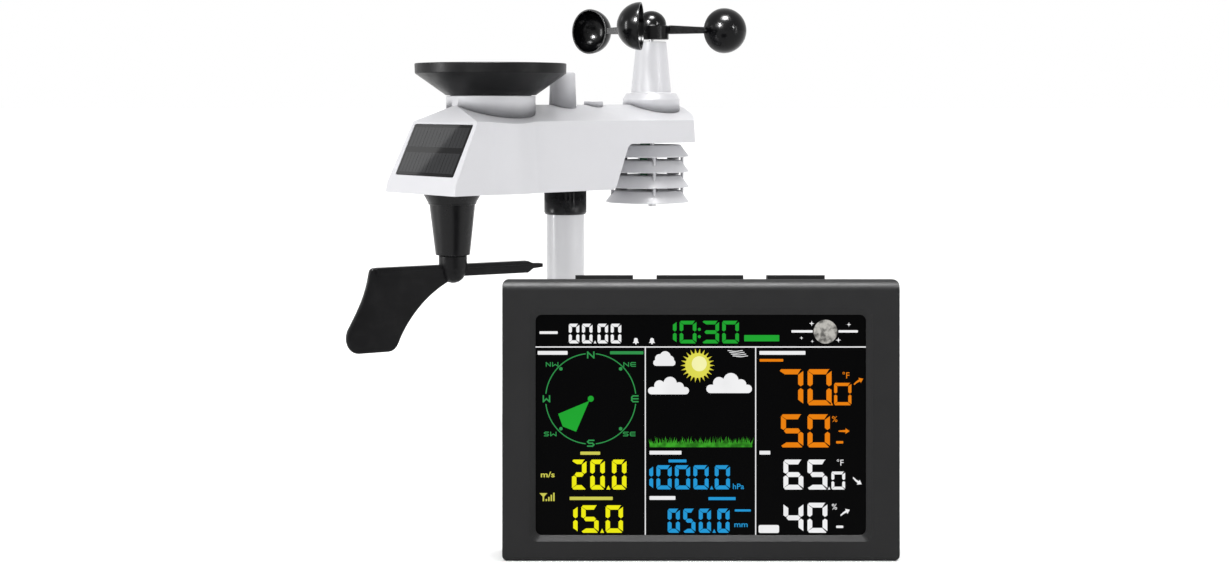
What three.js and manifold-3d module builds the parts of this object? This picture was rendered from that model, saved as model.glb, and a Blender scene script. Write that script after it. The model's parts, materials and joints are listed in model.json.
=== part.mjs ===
// Home weather station: a solar-powered outdoor sensor array on a mast, and its
// indoor colour-display console standing on the same table.
// Millimetres, +Z up. The origin is the centre of the mast foot's underside.

import * as THREE from 'three';
import { mergeVertices } from 'three/addons/utils/BufferGeometryUtils.js';
import Module from 'manifold-3d';

const wasm = await Module();
wasm.setup();

// ---- Driving dimensions -------------------------------------------------

const GAP = 0.3; // clearance between neighbouring pieces
const WALL = 2.2; // moulded wall of the array's housing
const deg = THREE.MathUtils.degToRad;

const MAST = { r: 12.7, wall: 1.5, foot: 40, footThick: 4, collar: 17, collarTop: 30, top: 158 };
const FOOT_SCREW = { count: 4, r: 2.6, circle: 31 };
const ARRAY_YAW = deg(41);

const BASE_Z = 161.5; // underside of the array's housing
const BAND_Z = 168.5; // top of the upright band under the solar panel
const EAVE_Z = 206.5; // top edge of the side walls
const RIDGE_Z = 217.5;
const ROOF_SLOPE = 0.305;
const SIDE_HALF = 35; // half width at the eaves
const DRAFT = 0.07; // the walls spread outwards towards the base
const FRONT_BASE = -119; // front edge at the underside
const FRONT_BAND = -117.7;
const FRONT_TOP = -99; // top edge of the sloped solar face
const HIP_APEX = -90;
const BULGE = { u: -70.5, r: 38.9 };
const REAR = { u: 59, r: 44 };
const SHELF_Z = 191.5; // underside of the rear overhang
const STEP = { foot: 11, head: 29 }; // where the underside climbs to the shelf

const SOLAR = { width: 63, height: 35.5, from: 5.2, thick: 1.5 };

const RAIN = { u: -62, barrel: 28.9, wall: 2.4, top: 223.2, opening: 23 };
const FUNNEL = {
  rim: 49, rimTop: 244, rimFoot: 237.6, neck: 29.1, neckZ: 223.6, skirtFoot: 218.4,
  spout: 4, spoutFoot: 203.5, wall: 2.2, bowlFoot: 209,
};
const POST = { u: -2, foot: 9.3, top: 8.4, z: 239 };
const LEVEL = { u: 25, r: 6.5, z: 219.7 };

const TOWER = { u: 78, boss: 20.6, shoulder: 17.9, foot: 14, top: 10.5, z: 261, bore: 5 };
const HUB = { r: 12.2, foot: 262.4, shoulder: 271.9, dome: 10.5, top: 282.4 };
const CUP = { count: 3, reach: 56, z: 269.5, r: 15.9, wall: 1.3, phase: deg(-19.5) };
const ARM = { hub: 6.1, tip: 4.3, width: 3.2 };
const SHAFT_R = 1.5;
const BORE_R = 1.9;
const BEARING = { r: 4.6, height: 4 };

const SHIELD = { u: 74.5, tops: 189.6, pitch: 10.6, height: 8.4, head: 23.2, hem: 29.6, count: 4 };
const VANE = { u: -93.4, heading: deg(-12.5), hub: 9.1, hubTop: 121.3, foot: 103.6, thick: 5, nose: 63 };
const CONE = { flange: 18.3, flangeFoot: 154.7, top: 14.5, foot: 11, footZ: 121.8, bore: 5 };

const BUCKET = { pivot: 190, half: 19, width: 17, rise: 11, tilt: deg(12) };
const CELL_AA = { r: 7.25, length: 50.5 };
const BAY = { u: -46, length: 56, width: 35, top: 181 };

const CASE = { width: 190.8, height: 135.6, split: 17, depth: 25, wall: 2.2, corner: 3 };
const CASE_AT = { x: 74.7, y: -351.7 };
const LEAN = deg(6);
const CREST = { drop: 5.8, depth: 6 }; // rounding along the top of the front
const WINDOW = { width: 159, height: 106, z: 65.4, bevel: 2.9, face: 2.5 };
const KEY = { z: 137.5, y: 12, depth: 7, lip: 1.5 };
const KEYS = [
  { name: 'key_left', x: -46.5, width: 28 },
  { name: 'key_middle', x: 0, width: 42 },
  { name: 'key_right', x: 46.5, width: 28 },
];
const CELL_AAA = { r: 5.25, length: 44.5, x: 58, z: 35, y: 17 };
const INLET = { x: -60, z: 30, bore: 3.2 };
const STAND = { width: 56, length: 44, thick: 2.4, z: 12, y: 23.1, pocket: 21.2, pocketTop: 60 };

// ---- Materials ------------------------------------------------------------

const finish = (color, roughness, metalness = 0) =>
  new THREE.MeshStandardMaterial({ color, roughness, metalness });
const WHITE = finish(0xe6e6ea, 0.4);
const SHADE = finish(0xd4d5d9, 0.45);
const BLACK = finish(0x1b1b1d, 0.45);
const GLOSS = finish(0x0e0e10, 0.15);
const CHARCOAL = finish(0x303032, 0.5);
const GLASS = finish(0x050506, 0.05);
const SILICON = finish(0x14161c, 0.15);
const STEEL = finish(0xb8babd, 0.3, 1);
const POLE = finish(0xdcdce0, 0.4, 0.1);
const BOARD = finish(0x1f5a36, 0.5);
const CELL = finish(0x3a6ea5, 0.35, 0.3);
const MAGNET = finish(0x6f7276, 0.35, 1);
const LIQUID = finish(0xb9d94a, 0.1);

// ---- Solids ---------------------------------------------------------------

/** Turns a closed three.js geometry into a manifold solid with outward faces. */
function solid(geometry) {
  const bare = new THREE.BufferGeometry();
  bare.setAttribute('position', geometry.getAttribute('position'));
  bare.setIndex(geometry.getIndex());
  const merged = mergeVertices(bare, 1e-4);
  const places = merged.getAttribute('position');
  const index = merged.getIndex().array;
  const corners = [];
  let volume = 0;
  for (let i = 0; i < index.length; i += 3) {
    const [a, b, c] = [index[i], index[i + 1], index[i + 2]];
    if (a === b || b === c || a === c) continue;
    corners.push(a, b, c);
    const [p, q, r] = [a, b, c].map((k) => new THREE.Vector3().fromBufferAttribute(places, k));
    volume += p.dot(q.cross(r));
  }
  if (volume < 0) {
    for (let i = 0; i < corners.length; i += 3) {
      [corners[i], corners[i + 1]] = [corners[i + 1], corners[i]];
    }
  }
  return new wasm.Manifold(new wasm.Mesh({
    numProp: 3,
    vertProperties: new Float32Array(places.array),
    triVerts: new Uint32Array(corners),
  }));
}

/** A named mesh from a solid. */
function piece(name, body, material) {
  const { vertProperties, triVerts } = body.getMesh();
  const geometry = new THREE.BufferGeometry();
  geometry.setAttribute('position', new THREE.BufferAttribute(vertProperties, 3));
  geometry.setIndex(new THREE.BufferAttribute(triVerts, 1));
  geometry.computeVertexNormals();
  const mesh = new THREE.Mesh(geometry, material);
  mesh.name = name;
  return mesh;
}

const union = (...bodies) => bodies.reduce((whole, next) => whole.add(next));
const cut = (body, ...tools) => tools.reduce((rest, tool) => rest.subtract(tool), body);

/** A box from its lowest and highest corners. */
function block([x0, y0, z0], [x1, y1, z1]) {
  const geometry = new THREE.BoxGeometry(x1 - x0, y1 - y0, z1 - z0);
  geometry.translate((x0 + x1) / 2, (y0 + y1) / 2, (z0 + z1) / 2);
  return solid(geometry);
}

/** A solid of revolution about an upright axis at (x, y); the profile is [radius, z] pairs. */
function turned(profile, { x = 0, y = 0, sides = 32 } = {}) {
  const points = profile.map(([r, z]) => new THREE.Vector2(r, z));
  const onAxis = profile[0][0] === 0 && profile[profile.length - 1][0] === 0;
  if (!onAxis) points.push(points[0].clone());
  const geometry = new THREE.LatheGeometry(points, sides);
  geometry.rotateX(Math.PI / 2);
  geometry.translate(x, y, 0);
  return solid(geometry);
}

/** An upright round rod. */
const rod = (r, z0, z1, place = {}) => turned([[0, z0], [r, z0], [r, z1], [0, z1]], place);

/** An upright round ring. */
const ring = (outer, inner, z0, z1, place = {}) =>
  turned([[inner, z0], [outer, z0], [outer, z1], [inner, z1]], place);

/** A rod along X or Y, through the point at, from low to high on that axis. */
function bar(axis, r, low, high, at, sides = 16) {
  const geometry = new THREE.CylinderGeometry(r, r, high - low, sides);
  if (axis === 'x') geometry.rotateZ(Math.PI / 2);
  const middle = (low + high) / 2;
  const [x, y, z] = at;
  geometry.translate(axis === 'x' ? middle : x, axis === 'y' ? middle : y, z);
  return solid(geometry);
}

/** A flat outline of [x, y] points, or a THREE.Shape, raised along Z from z0 to z1. */
function raised(outline, z0, z1, curveSegments = 6) {
  const shape = outline instanceof THREE.Shape
    ? outline
    : new THREE.Shape(outline.map(([x, y]) => new THREE.Vector2(x, y)));
  const geometry = new THREE.ExtrudeGeometry(shape, {
    depth: z1 - z0, bevelEnabled: false, curveSegments,
  });
  geometry.translate(0, 0, z0);
  return geometry;
}

/** An outline in the (x, z) plane, given thickness along Y from y0 to y1. */
function acrossY(outline, y0, y1, curveSegments = 6) {
  const geometry = raised(outline, -y1, -y0, curveSegments);
  geometry.rotateX(Math.PI / 2);
  return solid(geometry);
}

/** An outline in the (y, z) plane, given thickness along X from x0 to x1. */
function acrossX(outline, x0, x1) {
  const geometry = raised(outline, x0, x1);
  geometry.applyMatrix4(new THREE.Matrix4().set(0, 0, 1, 0, 1, 0, 0, 0, 0, 1, 0, 0, 0, 0, 0, 1));
  return solid(geometry);
}

/** Joins level outlines of equal point count, [{ z, points }], with flat ends. */
function lofted(levels) {
  const count = levels[0].points.length;
  const positions = levels.flatMap(({ z, points }) => points.flatMap(([x, y]) => [x, y, z]));
  const index = [];
  for (let level = 0; level + 1 < levels.length; level += 1) {
    for (let i = 0; i < count; i += 1) {
      const [a, b] = [level * count + i, level * count + ((i + 1) % count)];
      index.push(a, b, b + count, a, b + count, a + count);
    }
  }
  const flat = (points) => points.map(([x, y]) => new THREE.Vector2(x, y));
  const top = (levels.length - 1) * count;
  for (const [a, b, c] of THREE.ShapeUtils.triangulateShape(flat(levels[0].points), [])) {
    index.push(c, b, a);
  }
  for (const [a, b, c] of THREE.ShapeUtils.triangulateShape(flat(levels.at(-1).points), [])) {
    index.push(top + a, top + b, top + c);
  }
  const geometry = new THREE.BufferGeometry();
  geometry.setAttribute('position', new THREE.Float32BufferAttribute(positions, 3));
  geometry.setIndex(index);
  return solid(geometry);
}

/** A solid moved, or turned about the Z axis and then moved. */
const shifted = (body, x, y, z) => body.translate([x, y, z]);
const spun = (body, angle, x = 0, y = 0) =>
  body.rotate([0, 0, THREE.MathUtils.radToDeg(angle)]).translate([x, y, 0]);

// ---- Array housing ----------------------------------------------------------

/** The housing's plan at height z, its walls moved outwards by grow. */
function plan(z, grow = 0) {
  const spread = (EAVE_Z - z) * DRAFT + grow;
  const half = SIDE_HALF + spread;
  const bulge = BULGE.r + spread;
  const rear = REAR.r + spread;
  const slope = (FRONT_TOP - FRONT_BAND) / (EAVE_Z - BAND_Z);
  const band = (FRONT_BAND - FRONT_BASE) / (BAND_Z - BASE_Z);
  const front = z < BAND_Z ? FRONT_BAND - band * (BAND_Z - z) : FRONT_BAND + slope * (z - BAND_Z);
  const side = [];
  const reach = Math.asin(half / bulge);
  for (let i = 0; i <= 6; i += 1) {
    const angle = Math.PI - reach - ((Math.PI - 2 * reach) * i) / 6;
    side.push([BULGE.u + bulge * Math.cos(angle), bulge * Math.sin(angle)]);
  }
  const corner = Math.asin(half / rear);
  const tail = [];
  for (let i = 0; i <= 12; i += 1) {
    const angle = corner - (2 * corner * i) / 12;
    tail.push([REAR.u + rear * Math.cos(angle), rear * Math.sin(angle)]);
  }
  const mirrored = side.map(([x, y]) => [x, -y]).reverse();
  return [[front - grow, half], ...side, ...tail, ...mirrored, [front - grow, -half]].reverse();
}

/** The gabled, hipped outer form of the housing, its skin moved outwards by grow. */
function housingForm(grow = 0, foot = BASE_Z) {
  const high = RIDGE_Z + 6;
  const body = lofted([foot, BAND_Z, high].map((z) => ({ z, points: plan(z, grow) })));
  const lift = grow / Math.cos(Math.atan(ROOF_SLOPE));
  const span = 60;
  const gable = acrossX([
    [-span, foot - 10], [span, foot - 10], [span, RIDGE_Z + lift - span * ROOF_SLOPE],
    [0, RIDGE_Z + lift], [-span, RIDGE_Z + lift - span * ROOF_SLOPE],
  ], -140, 140);
  const hipRun = HIP_APEX - FRONT_TOP;
  const hipRise = RIDGE_Z - EAVE_Z;
  const back = 3;
  const hip = acrossY([
    [FRONT_TOP - grow - back * hipRun, EAVE_Z - back * hipRise],
    [FRONT_TOP - grow + back * hipRun, EAVE_Z + back * hipRise],
    [FRONT_TOP - grow - back * hipRun, EAVE_Z + back * hipRise],
  ], -span, span);
  return cut(body.intersect(gable), hip);
}

/** The underside's profile in (u, z): flat, a rounded climb, then the rear shelf. */
function underside(lift = 0) {
  const { foot, head } = STEP;
  return [
    [-140, BASE_Z + lift], [foot - 1 - lift / 2, BASE_Z + lift],
    [foot + 2.4 - lift, BASE_Z + 2.4 + lift / 2],
    [foot + 13.6 - lift, SHELF_Z - 4.4 + lift / 2],
    [head - 1.5 - lift / 2, SHELF_Z - 0.8 + lift], [head + 1.5, SHELF_Z + lift],
    [140, SHELF_Z + lift],
  ];
}

const belowUnderside = acrossY([...underside(), [140, 100], [-140, 100]], -60, 60);
const floorSlab = acrossY([...underside(), ...underside(WALL).reverse()], -60, 60);
const onRoof = shifted(housingForm(), 0, 0, GAP + 0.05);

/** Points on the sloped solar face: x along v, y up the slope, z outwards. */
const solarFrame = new THREE.Matrix4();
{
  const up = new THREE.Vector3(FRONT_TOP - FRONT_BAND, 0, EAVE_Z - BAND_Z).normalize();
  const along = new THREE.Vector3(0, -1, 0);
  const out = new THREE.Vector3().crossVectors(along, up);
  solarFrame.makeBasis(along, up, out);
  solarFrame.setPosition(FRONT_BAND, 0, BAND_Z);
}

/** A slab on the solar face, inset from the panel's edge, between two depths. */
function solarSlab(inset, low, high) {
  const geometry = new THREE.BoxGeometry(
    SOLAR.width - 2 * inset, SOLAR.height - 2 * inset, high - low);
  geometry.translate(0, SOLAR.from + SOLAR.height / 2, (low + high) / 2);
  geometry.applyMatrix4(solarFrame);
  return solid(geometry);
}

function upperHousing() {
  const shell = cut(housingForm(), housingForm(-WALL, BASE_Z - 1), belowUnderside);
  return cut(
    shell,
    solarSlab(-GAP, -SOLAR.thick, 4),
    solarSlab(3, -6, 1),
    rod(RAIN.opening, 190, 230, { x: RAIN.u }),
    rod(5, 200, 230, { x: POST.u, sides: 20 }),
    rod(8, 200, 230, { x: TOWER.u, sides: 20 }),
  );
}

const shieldLugs = [-121, -31, 59, 149].map(deg);
const lugAt = (angle) => ({
  x: SHIELD.u + 17.5 * Math.cos(angle), y: 17.5 * Math.sin(angle), sides: 8,
});
const screwLugs = [shieldLugs[0], shieldLugs[2]];
const RESET = { x: -34, y: 26, r: 2.4, travel: 1 };

function lowerHousing() {
  const plate = housingForm(-WALL - GAP, BASE_Z - 1).intersect(floorSlab);
  return cut(
    plate,
    block([BAY.u - BAY.length / 2, -BAY.width / 2, 150], [BAY.u + BAY.length / 2, BAY.width / 2, 170]),
    rod(RESET.r + GAP, 150, 170, { x: RESET.x, y: RESET.y, sides: 16 }),
    ...screwLugs.map((angle) => rod(BORE_R, 185, 200, lugAt(angle))),
  );
}

function rainBarrel() {
  const { u, barrel, wall, top } = RAIN;
  return cut(ring(barrel, barrel - wall, 200, top, { x: u, sides: 36 }), onRoof);
}

function rainFunnel() {
  const f = FUNNEL;
  const incline = (f.rimFoot - f.neckZ) / (f.rim - 0.2 - f.neck);
  const bowl = (r) => f.bowlFoot + (r - f.spout) * incline * 0.97;
  const thick = f.wall / Math.cos(Math.atan(incline));
  const skirt = RAIN.barrel - RAIN.wall - GAP;
  return turned([
    [f.spout, f.spoutFoot], [f.spout + 1.8, f.spoutFoot], [f.spout + 2, bowl(f.spout + 2) - thick],
    [skirt - 1.8, bowl(skirt - 1.8) - thick], [skirt - 1.8, f.skirtFoot], [skirt, f.skirtFoot],
    [skirt, f.neckZ], [f.neck, f.neckZ], [f.rim - 0.2, f.rimFoot], [f.rim, f.rimTop - 0.6],
    [f.rim - 0.6, f.rimTop], [f.rim - 1.6, f.rimTop], [f.rim - 2.2, f.rimFoot + 0.8],
    [f.spout, f.bowlFoot],
  ], { x: RAIN.u, sides: 36 });
}

function funnelScreen() {
  const holes = [];
  for (let i = 0; i < 6; i += 1) {
    const angle = (i * Math.PI) / 3;
    holes.push(rod(1.7, 200, 230, {
      x: RAIN.u + 5.6 * Math.cos(angle), y: 5.6 * Math.sin(angle), sides: 8,
    }));
  }
  return cut(rod(10.4, 214.4, 215.9, { x: RAIN.u, sides: 24 }), ...holes);
}

function antennaCover() {
  const { u, foot, top, z } = POST;
  const cover = turned([
    [0, 205], [foot, 205], [foot, 214], [top, z - 1.2], [top - 1.2, z], [0, z],
  ], { x: u });
  return cut(cover, rod(top - 2, 200, z - 2, { x: u }), onRoof);
}

const levelRing = () => cut(
  ring(LEVEL.r, LEVEL.r - 1.3, 210, LEVEL.z, { x: LEVEL.u, sides: 24 }), onRoof);
const levelVial = () => cut(turned([
  [0, 214], [LEVEL.r - 1.6, 214], [LEVEL.r - 1.6, LEVEL.z - 0.9], [LEVEL.r - 3, LEVEL.z - 0.3],
  [0, LEVEL.z - 0.1],
], { x: LEVEL.u, sides: 24 }), onRoof);

function anemometerTower() {
  const t = TOWER;
  const body = turned([
    [0, 200], [t.boss, 200], [t.boss - 0.4, 221], [t.shoulder, 225.2], [t.foot, 225.8],
    [t.top, t.z], [0, t.z],
  ], { x: t.u, sides: 32 });
  return cut(body, rod(t.bore, 190, t.z + 1, { x: t.u, sides: 24 }), onRoof);
}

const bearing = (u, z) => ring(BEARING.r, BORE_R, z, z + BEARING.height, { x: u, sides: 16 });
const shaft = (u, z0, z1) => rod(SHAFT_R, z0, z1, { x: u, sides: 12 });
const magnet = (u, z) => ring(4.2, BORE_R, z, z + 3, { x: u, sides: 16 });

// ---- Wind rotor and vane ------------------------------------------------------

function rotorHub() {
  const h = HUB;
  const body = turned([
    [0, h.foot], [h.r, h.foot], [h.r, h.shoulder], [h.dome, h.shoulder + 0.6],
    ...[1, 2, 3, 4].map((i) => {
      const angle = (i * Math.PI) / 10;
      const rise = h.top - h.shoulder - 0.6;
      return [h.dome * Math.cos(angle), h.shoulder + 0.6 + rise * Math.sin(angle)];
    }),
    [0, h.top],
  ], { x: TOWER.u });
  return cut(body, rod(BORE_R, h.foot - 1, h.shoulder + 5, { x: TOWER.u, sides: 16 }));
}

function windCup(i) {
  const { reach, z, r, wall, count, phase } = CUP;
  const dome = (radius, rim) => {
    const profile = [[0, rim], [radius, rim]];
    for (let k = 1; k < 6; k += 1) {
      const angle = (k * Math.PI) / 12;
      profile.push([radius * Math.cos(angle), rim + radius * Math.sin(angle)]);
    }
    profile.push([0, rim + radius]);
    return turned(profile, { sides: 20 });
  };
  const cup = cut(dome(r, 0), shifted(dome(r - wall, -0.01), 0, 0, -0.01)).rotate([90, 0, 0]);
  const start = HUB.r + GAP + 0.1 - reach;
  const end = -r + 1.1;
  const bridge = acrossY([
    [start, -ARM.hub / 2], [end, -ARM.tip / 2], [end, ARM.tip / 2], [start, ARM.hub / 2],
  ], -ARM.width, 0);
  const whole = shifted(union(cup, bridge), reach, 0, z);
  return spun(whole, phase + (i * 2 * Math.PI) / count, TOWER.u);
}

function vaneCone() {
  const c = CONE;
  return turned([
    [c.bore, c.footZ], [c.foot, c.footZ], [c.top, c.flangeFoot - 0.6], [c.top + 0.8, c.flangeFoot],
    [c.flange, BASE_Z - GAP - 1.2], [c.flange, BASE_Z - GAP], [c.bore, BASE_Z - GAP],
  ], { x: VANE.u, sides: 32 });
}

/** The vane in its own upright plane: x along the nose, y up. */
function vaneOutline() {
  const top = 115.7;
  const keel = 62.1;
  const { nose } = VANE;
  const shape = new THREE.Shape();
  shape.moveTo(nose - 10.7, top);
  shape.lineTo(-54.5, top);
  shape.quadraticCurveTo(-57.3, top, -57.3, top - 4);
  shape.bezierCurveTo(-60, 96, -67, 86, -71.9, 76.5);
  shape.bezierCurveTo(-74.4, 70, -71, keel, -64.4, keel);
  shape.lineTo(-45.2, keel);
  shape.bezierCurveTo(-40, keel, -38.4, 66.5, -36.6, 70.9);
  shape.bezierCurveTo(-29, 86, -17, 98, -3, 105);
  shape.lineTo(3, 108);
  shape.lineTo(nose - 10.7, 108);
  shape.lineTo(nose - 7, 110.6);
  shape.lineTo(nose, 111.3);
  shape.lineTo(nose, 113.7);
  shape.lineTo(nose - 7, 114);
  return shape;
}

function windVane() {
  const v = VANE;
  const ball = [];
  for (let k = 0; k <= 5; k += 1) {
    const angle = (-Math.PI / 2) * (1 - k / 5);
    ball.push([8.3 * Math.cos(angle), v.foot + 8.3 + 8.3 * Math.sin(angle)]);
  }
  const hub = turned([...ball.map(([r, z], k) => [k ? r : 0, z]), [v.hub, 113.5],
    [v.hub, v.hubTop], [0, v.hubTop]], { sides: 32 });
  const blade = acrossY(vaneOutline(), -v.thick / 2, v.thick / 2, 8);
  return spun(cut(union(hub, blade), rod(BORE_R, 107, 130, { sides: 16 })), v.heading, v.u);
}

// ---- Radiation shield -----------------------------------------------------------

function louver(i) {
  const top = SHIELD.tops - i * SHIELD.pitch;
  const last = i === SHIELD.count - 1;
  const { u, height, head, hem } = SHIELD;
  const skin = 1.5;
  const outside = [[head, top], [hem, top - height]];
  const inside = [[hem - skin, top - height], [head - 1.2, top - skin]];
  const profile = last
    ? [[0, top], ...outside, ...inside, [0, top - skin]]
    : [[10, top], ...outside, ...inside, [10, top - skin]];
  const plate = turned(profile, { x: u, sides: 28 });
  const foot = last ? top - height : top - SHIELD.pitch + GAP;
  const lugs = shieldLugs.map((angle) => rod(3.4, foot, top - 0.5, lugAt(angle)));
  const bores = screwLugs.map((angle) => rod(BORE_R, 100, 200, lugAt(angle)));
  return cut(union(plate, ...lugs), ...bores);
}

function shieldScrew(angle) {
  const place = lugAt(angle);
  const foot = SHIELD.tops - (SHIELD.count - 1) * SHIELD.pitch - SHIELD.height;
  return union(rod(SHAFT_R, foot - 1, 195, place), rod(2.8, foot - 2.1, foot - GAP, place));
}

// ---- Inside the array -------------------------------------------------------------

function batteryBox() {
  const [low, high] = [BASE_Z + WALL + GAP, BAY.top];
  const half = BAY.length / 2;
  return cut(
    block([BAY.u - half - 2, -BAY.width / 2 - 2, low], [BAY.u + half + 2, BAY.width / 2 + 2, high]),
    block([BAY.u - half, -BAY.width / 2, low - 5], [BAY.u + half, BAY.width / 2, high - 1.4]),
  );
}

const aaCell = (side) => bar('x', CELL_AA.r, BAY.u - CELL_AA.length / 2, BAY.u + CELL_AA.length / 2,
  [0, side * (CELL_AA.r + 0.6), BASE_Z + WALL + 0.8 + CELL_AA.r], 20);

function batteryDoor() {
  const half = BAY.length / 2 - GAP;
  const wide = BAY.width / 2 - GAP;
  const plate = block([BAY.u - half, -wide, BASE_Z], [BAY.u + half, wide, BASE_Z + WALL]);
  const thumb = block([BAY.u - half + 4, -6, BASE_Z - 1], [BAY.u - half + 5.2, 6, BASE_Z + 0.8]);
  return cut(plate, thumb, shifted(thumb, 2.4, 0, 0), shifted(thumb, 4.8, 0, 0));
}

const resetButton = () => union(
  rod(RESET.r, BASE_Z - 1, BASE_Z + 4, { x: RESET.x, y: RESET.y, sides: 16 }),
  rod(RESET.r + 1.6, BASE_Z + WALL + GAP, BASE_Z + 4, { x: RESET.x, y: RESET.y, sides: 16 }),
);

function bucketCradle() {
  const [low, pivot] = [BAY.top + GAP, BUCKET.pivot];
  const ear = (y) => acrossY([
    [RAIN.u - 8, low], [RAIN.u + 8, low], [RAIN.u + 4, pivot + 4], [RAIN.u - 4, pivot + 4],
  ], y - 1, y + 1);
  const body = union(
    block([RAIN.u - 20, -15, low], [RAIN.u + 20, 15, low + 1.6]), ear(-13), ear(13));
  return cut(body, bar('y', BORE_R, -20, 20, [RAIN.u, 0, pivot]));
}

/** The two-chambered bucket, level, about its own pivot at the origin. */
function tippingBucket() {
  const { half, width, rise } = BUCKET;
  const outside = acrossY([
    [-half, 4], [-half, 6.5], [0, rise], [half, 6.5], [half, 4], [0, -2.6],
  ], -width / 2, width / 2);
  const chamber = (side) => acrossY([
    [side * (half + 1), 5.6], [side * 0.8, -0.2], [side * 0.8, rise + 2], [side * (half + 1), rise + 2],
  ], -width / 2 + 1.3, width / 2 - 1.3);
  const hollow = cut(outside, chamber(-1), chamber(1));
  const sleeve = bar('y', 2.9, -width / 2, width / 2, [0, 0, 0]);
  return cut(union(hollow, sleeve), bar('y', BORE_R, -20, 20, [0, 0, 0]));
}

function mainBoard() {
  return block([-34, -24, 196], [50, 24, 197.6]);
}

const climateSensor = () => union(
  block([SHIELD.u - 6, -0.8, 163], [SHIELD.u + 6, 0.8, 191]),
  block([SHIELD.u - 2.5, 0.7, 165], [SHIELD.u + 2.5, 2.2, 170]),
);

// ---- Mast ---------------------------------------------------------------------------

function mastFoot() {
  const m = MAST;
  const body = union(
    turned([[0, 0], [m.foot, 0], [m.foot, m.footThick - 1.2], [m.foot - 1.2, m.footThick],
      [0, m.footThick]], { sides: 36 }),
    turned([[0, 1], [m.collar + 3, 1], [m.collar + 3, m.footThick], [m.collar, m.footThick + 3],
      [m.collar, m.collarTop - 1], [m.collar - 1, m.collarTop], [0, m.collarTop]], { sides: 28 }),
  );
  const screws = [];
  for (let i = 0; i < FOOT_SCREW.count; i += 1) {
    const angle = ((i + 0.5) * 2 * Math.PI) / FOOT_SCREW.count;
    const [x, y] = [FOOT_SCREW.circle * Math.cos(angle), FOOT_SCREW.circle * Math.sin(angle)];
    screws.push(rod(FOOT_SCREW.r, -1, 10, { x, y, sides: 12 }));
  }
  return cut(body, rod(m.r + GAP, m.footThick, m.collarTop + 1, { sides: 32 }), ...screws);
}

const mastPole = () => ring(MAST.r, MAST.r - MAST.wall, MAST.footThick + GAP, MAST.top);

/** The clamp faces straight away from the console. */
const CLAMP = { r: 2.1, z: 152.5 };
const towardsClamp = (body) => spun(body, -ARRAY_YAW);

function mastSocket() {
  const top = BASE_Z - GAP;
  const collar = turned([[0, 145.2], [13.4, 144], [14.3, 145.4], [14.3, top], [0, top]]);
  const boss = towardsClamp(bar('y', 4.2, 10, 19, [0, 0, CLAMP.z]));
  return cut(
    union(collar, boss),
    rod(MAST.r + GAP, 140, MAST.top + GAP + 0.4),
    towardsClamp(bar('y', CLAMP.r + GAP, 8, 22, [0, 0, CLAMP.z])),
  );
}

/** The clamp screw stops just short of the pole. */
const socketScrew = () => towardsClamp(union(
  bar('y', CLAMP.r, MAST.r + GAP, 20, [0, 0, CLAMP.z]),
  bar('y', 5, 19 + GAP, 24, [0, 0, CLAMP.z], 12),
));

// ---- Console ----------------------------------------------------------------------------

const HALF_CASE = CASE.width / 2;
const underTable = acrossX([
  [-20, -20 * Math.tan(LEAN) - 30], [-20, -20 * Math.tan(LEAN)], [60, 60 * Math.tan(LEAN)],
  [60, -20 * Math.tan(LEAN) - 30],
], -HALF_CASE - 5, HALF_CASE + 5);

/** An upright rounded rectangle across the depth of the case. */
function roundedSlab(halfWidth, z0, z1, radius, y0, y1) {
  const shape = new THREE.Shape();
  shape.moveTo(-halfWidth + radius, z0);
  shape.lineTo(halfWidth - radius, z0);
  shape.absarc(halfWidth - radius, z0 + radius, radius, -Math.PI / 2, 0);
  shape.absarc(halfWidth - radius, z1 - radius, radius, 0, Math.PI / 2);
  shape.absarc(-halfWidth + radius, z1 - radius, radius, Math.PI / 2, Math.PI);
  shape.absarc(-halfWidth + radius, z0 + radius, radius, Math.PI, 1.5 * Math.PI);
  return acrossY(shape, y0, y1, 4);
}

function consoleFront() {
  const { height, split, wall, corner } = CASE;
  const crest = [];
  for (let k = 0; k <= 5; k += 1) {
    const angle = (k * Math.PI) / 10;
    crest.push([
      CREST.depth * (1 - Math.cos(angle)), height - CREST.drop * (1 - Math.sin(angle)),
    ]);
  }
  const side = acrossX([[1.6, 0], [0, 1.9], ...crest, [split, height], [split, 0]],
    -HALF_CASE, HALF_CASE);
  const form = side.intersect(roundedSlab(HALF_CASE, 0, height, corner, -1, split + 1));
  const cavity = block([-HALF_CASE + wall, WINDOW.face, 4.2], [HALF_CASE - wall, split + 1, height - wall]);
  const opening = lofted([-0.01, WINDOW.face + 0.1].map((depth, i) => {
    const grow = i ? 0 : WINDOW.bevel;
    const [w, h] = [WINDOW.width / 2 + grow, WINDOW.height / 2 + grow];
    return { z: depth, points: [[-w, -h], [w, -h], [w, h], [-w, h]] };
  })).rotate([90, 0, 0]).mirror([0, 1, 0]).translate([0, 0, WINDOW.z]);
  const slots = KEYS.map(({ x, width }) => block(
    [x - width / 2 - GAP, KEY.y - KEY.depth / 2 - GAP, height - wall - 1],
    [x + width / 2 + GAP, KEY.y + KEY.depth / 2 + GAP, height + 1]));
  return cut(form, cavity, opening, underTable, ...slots);
}

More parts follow.
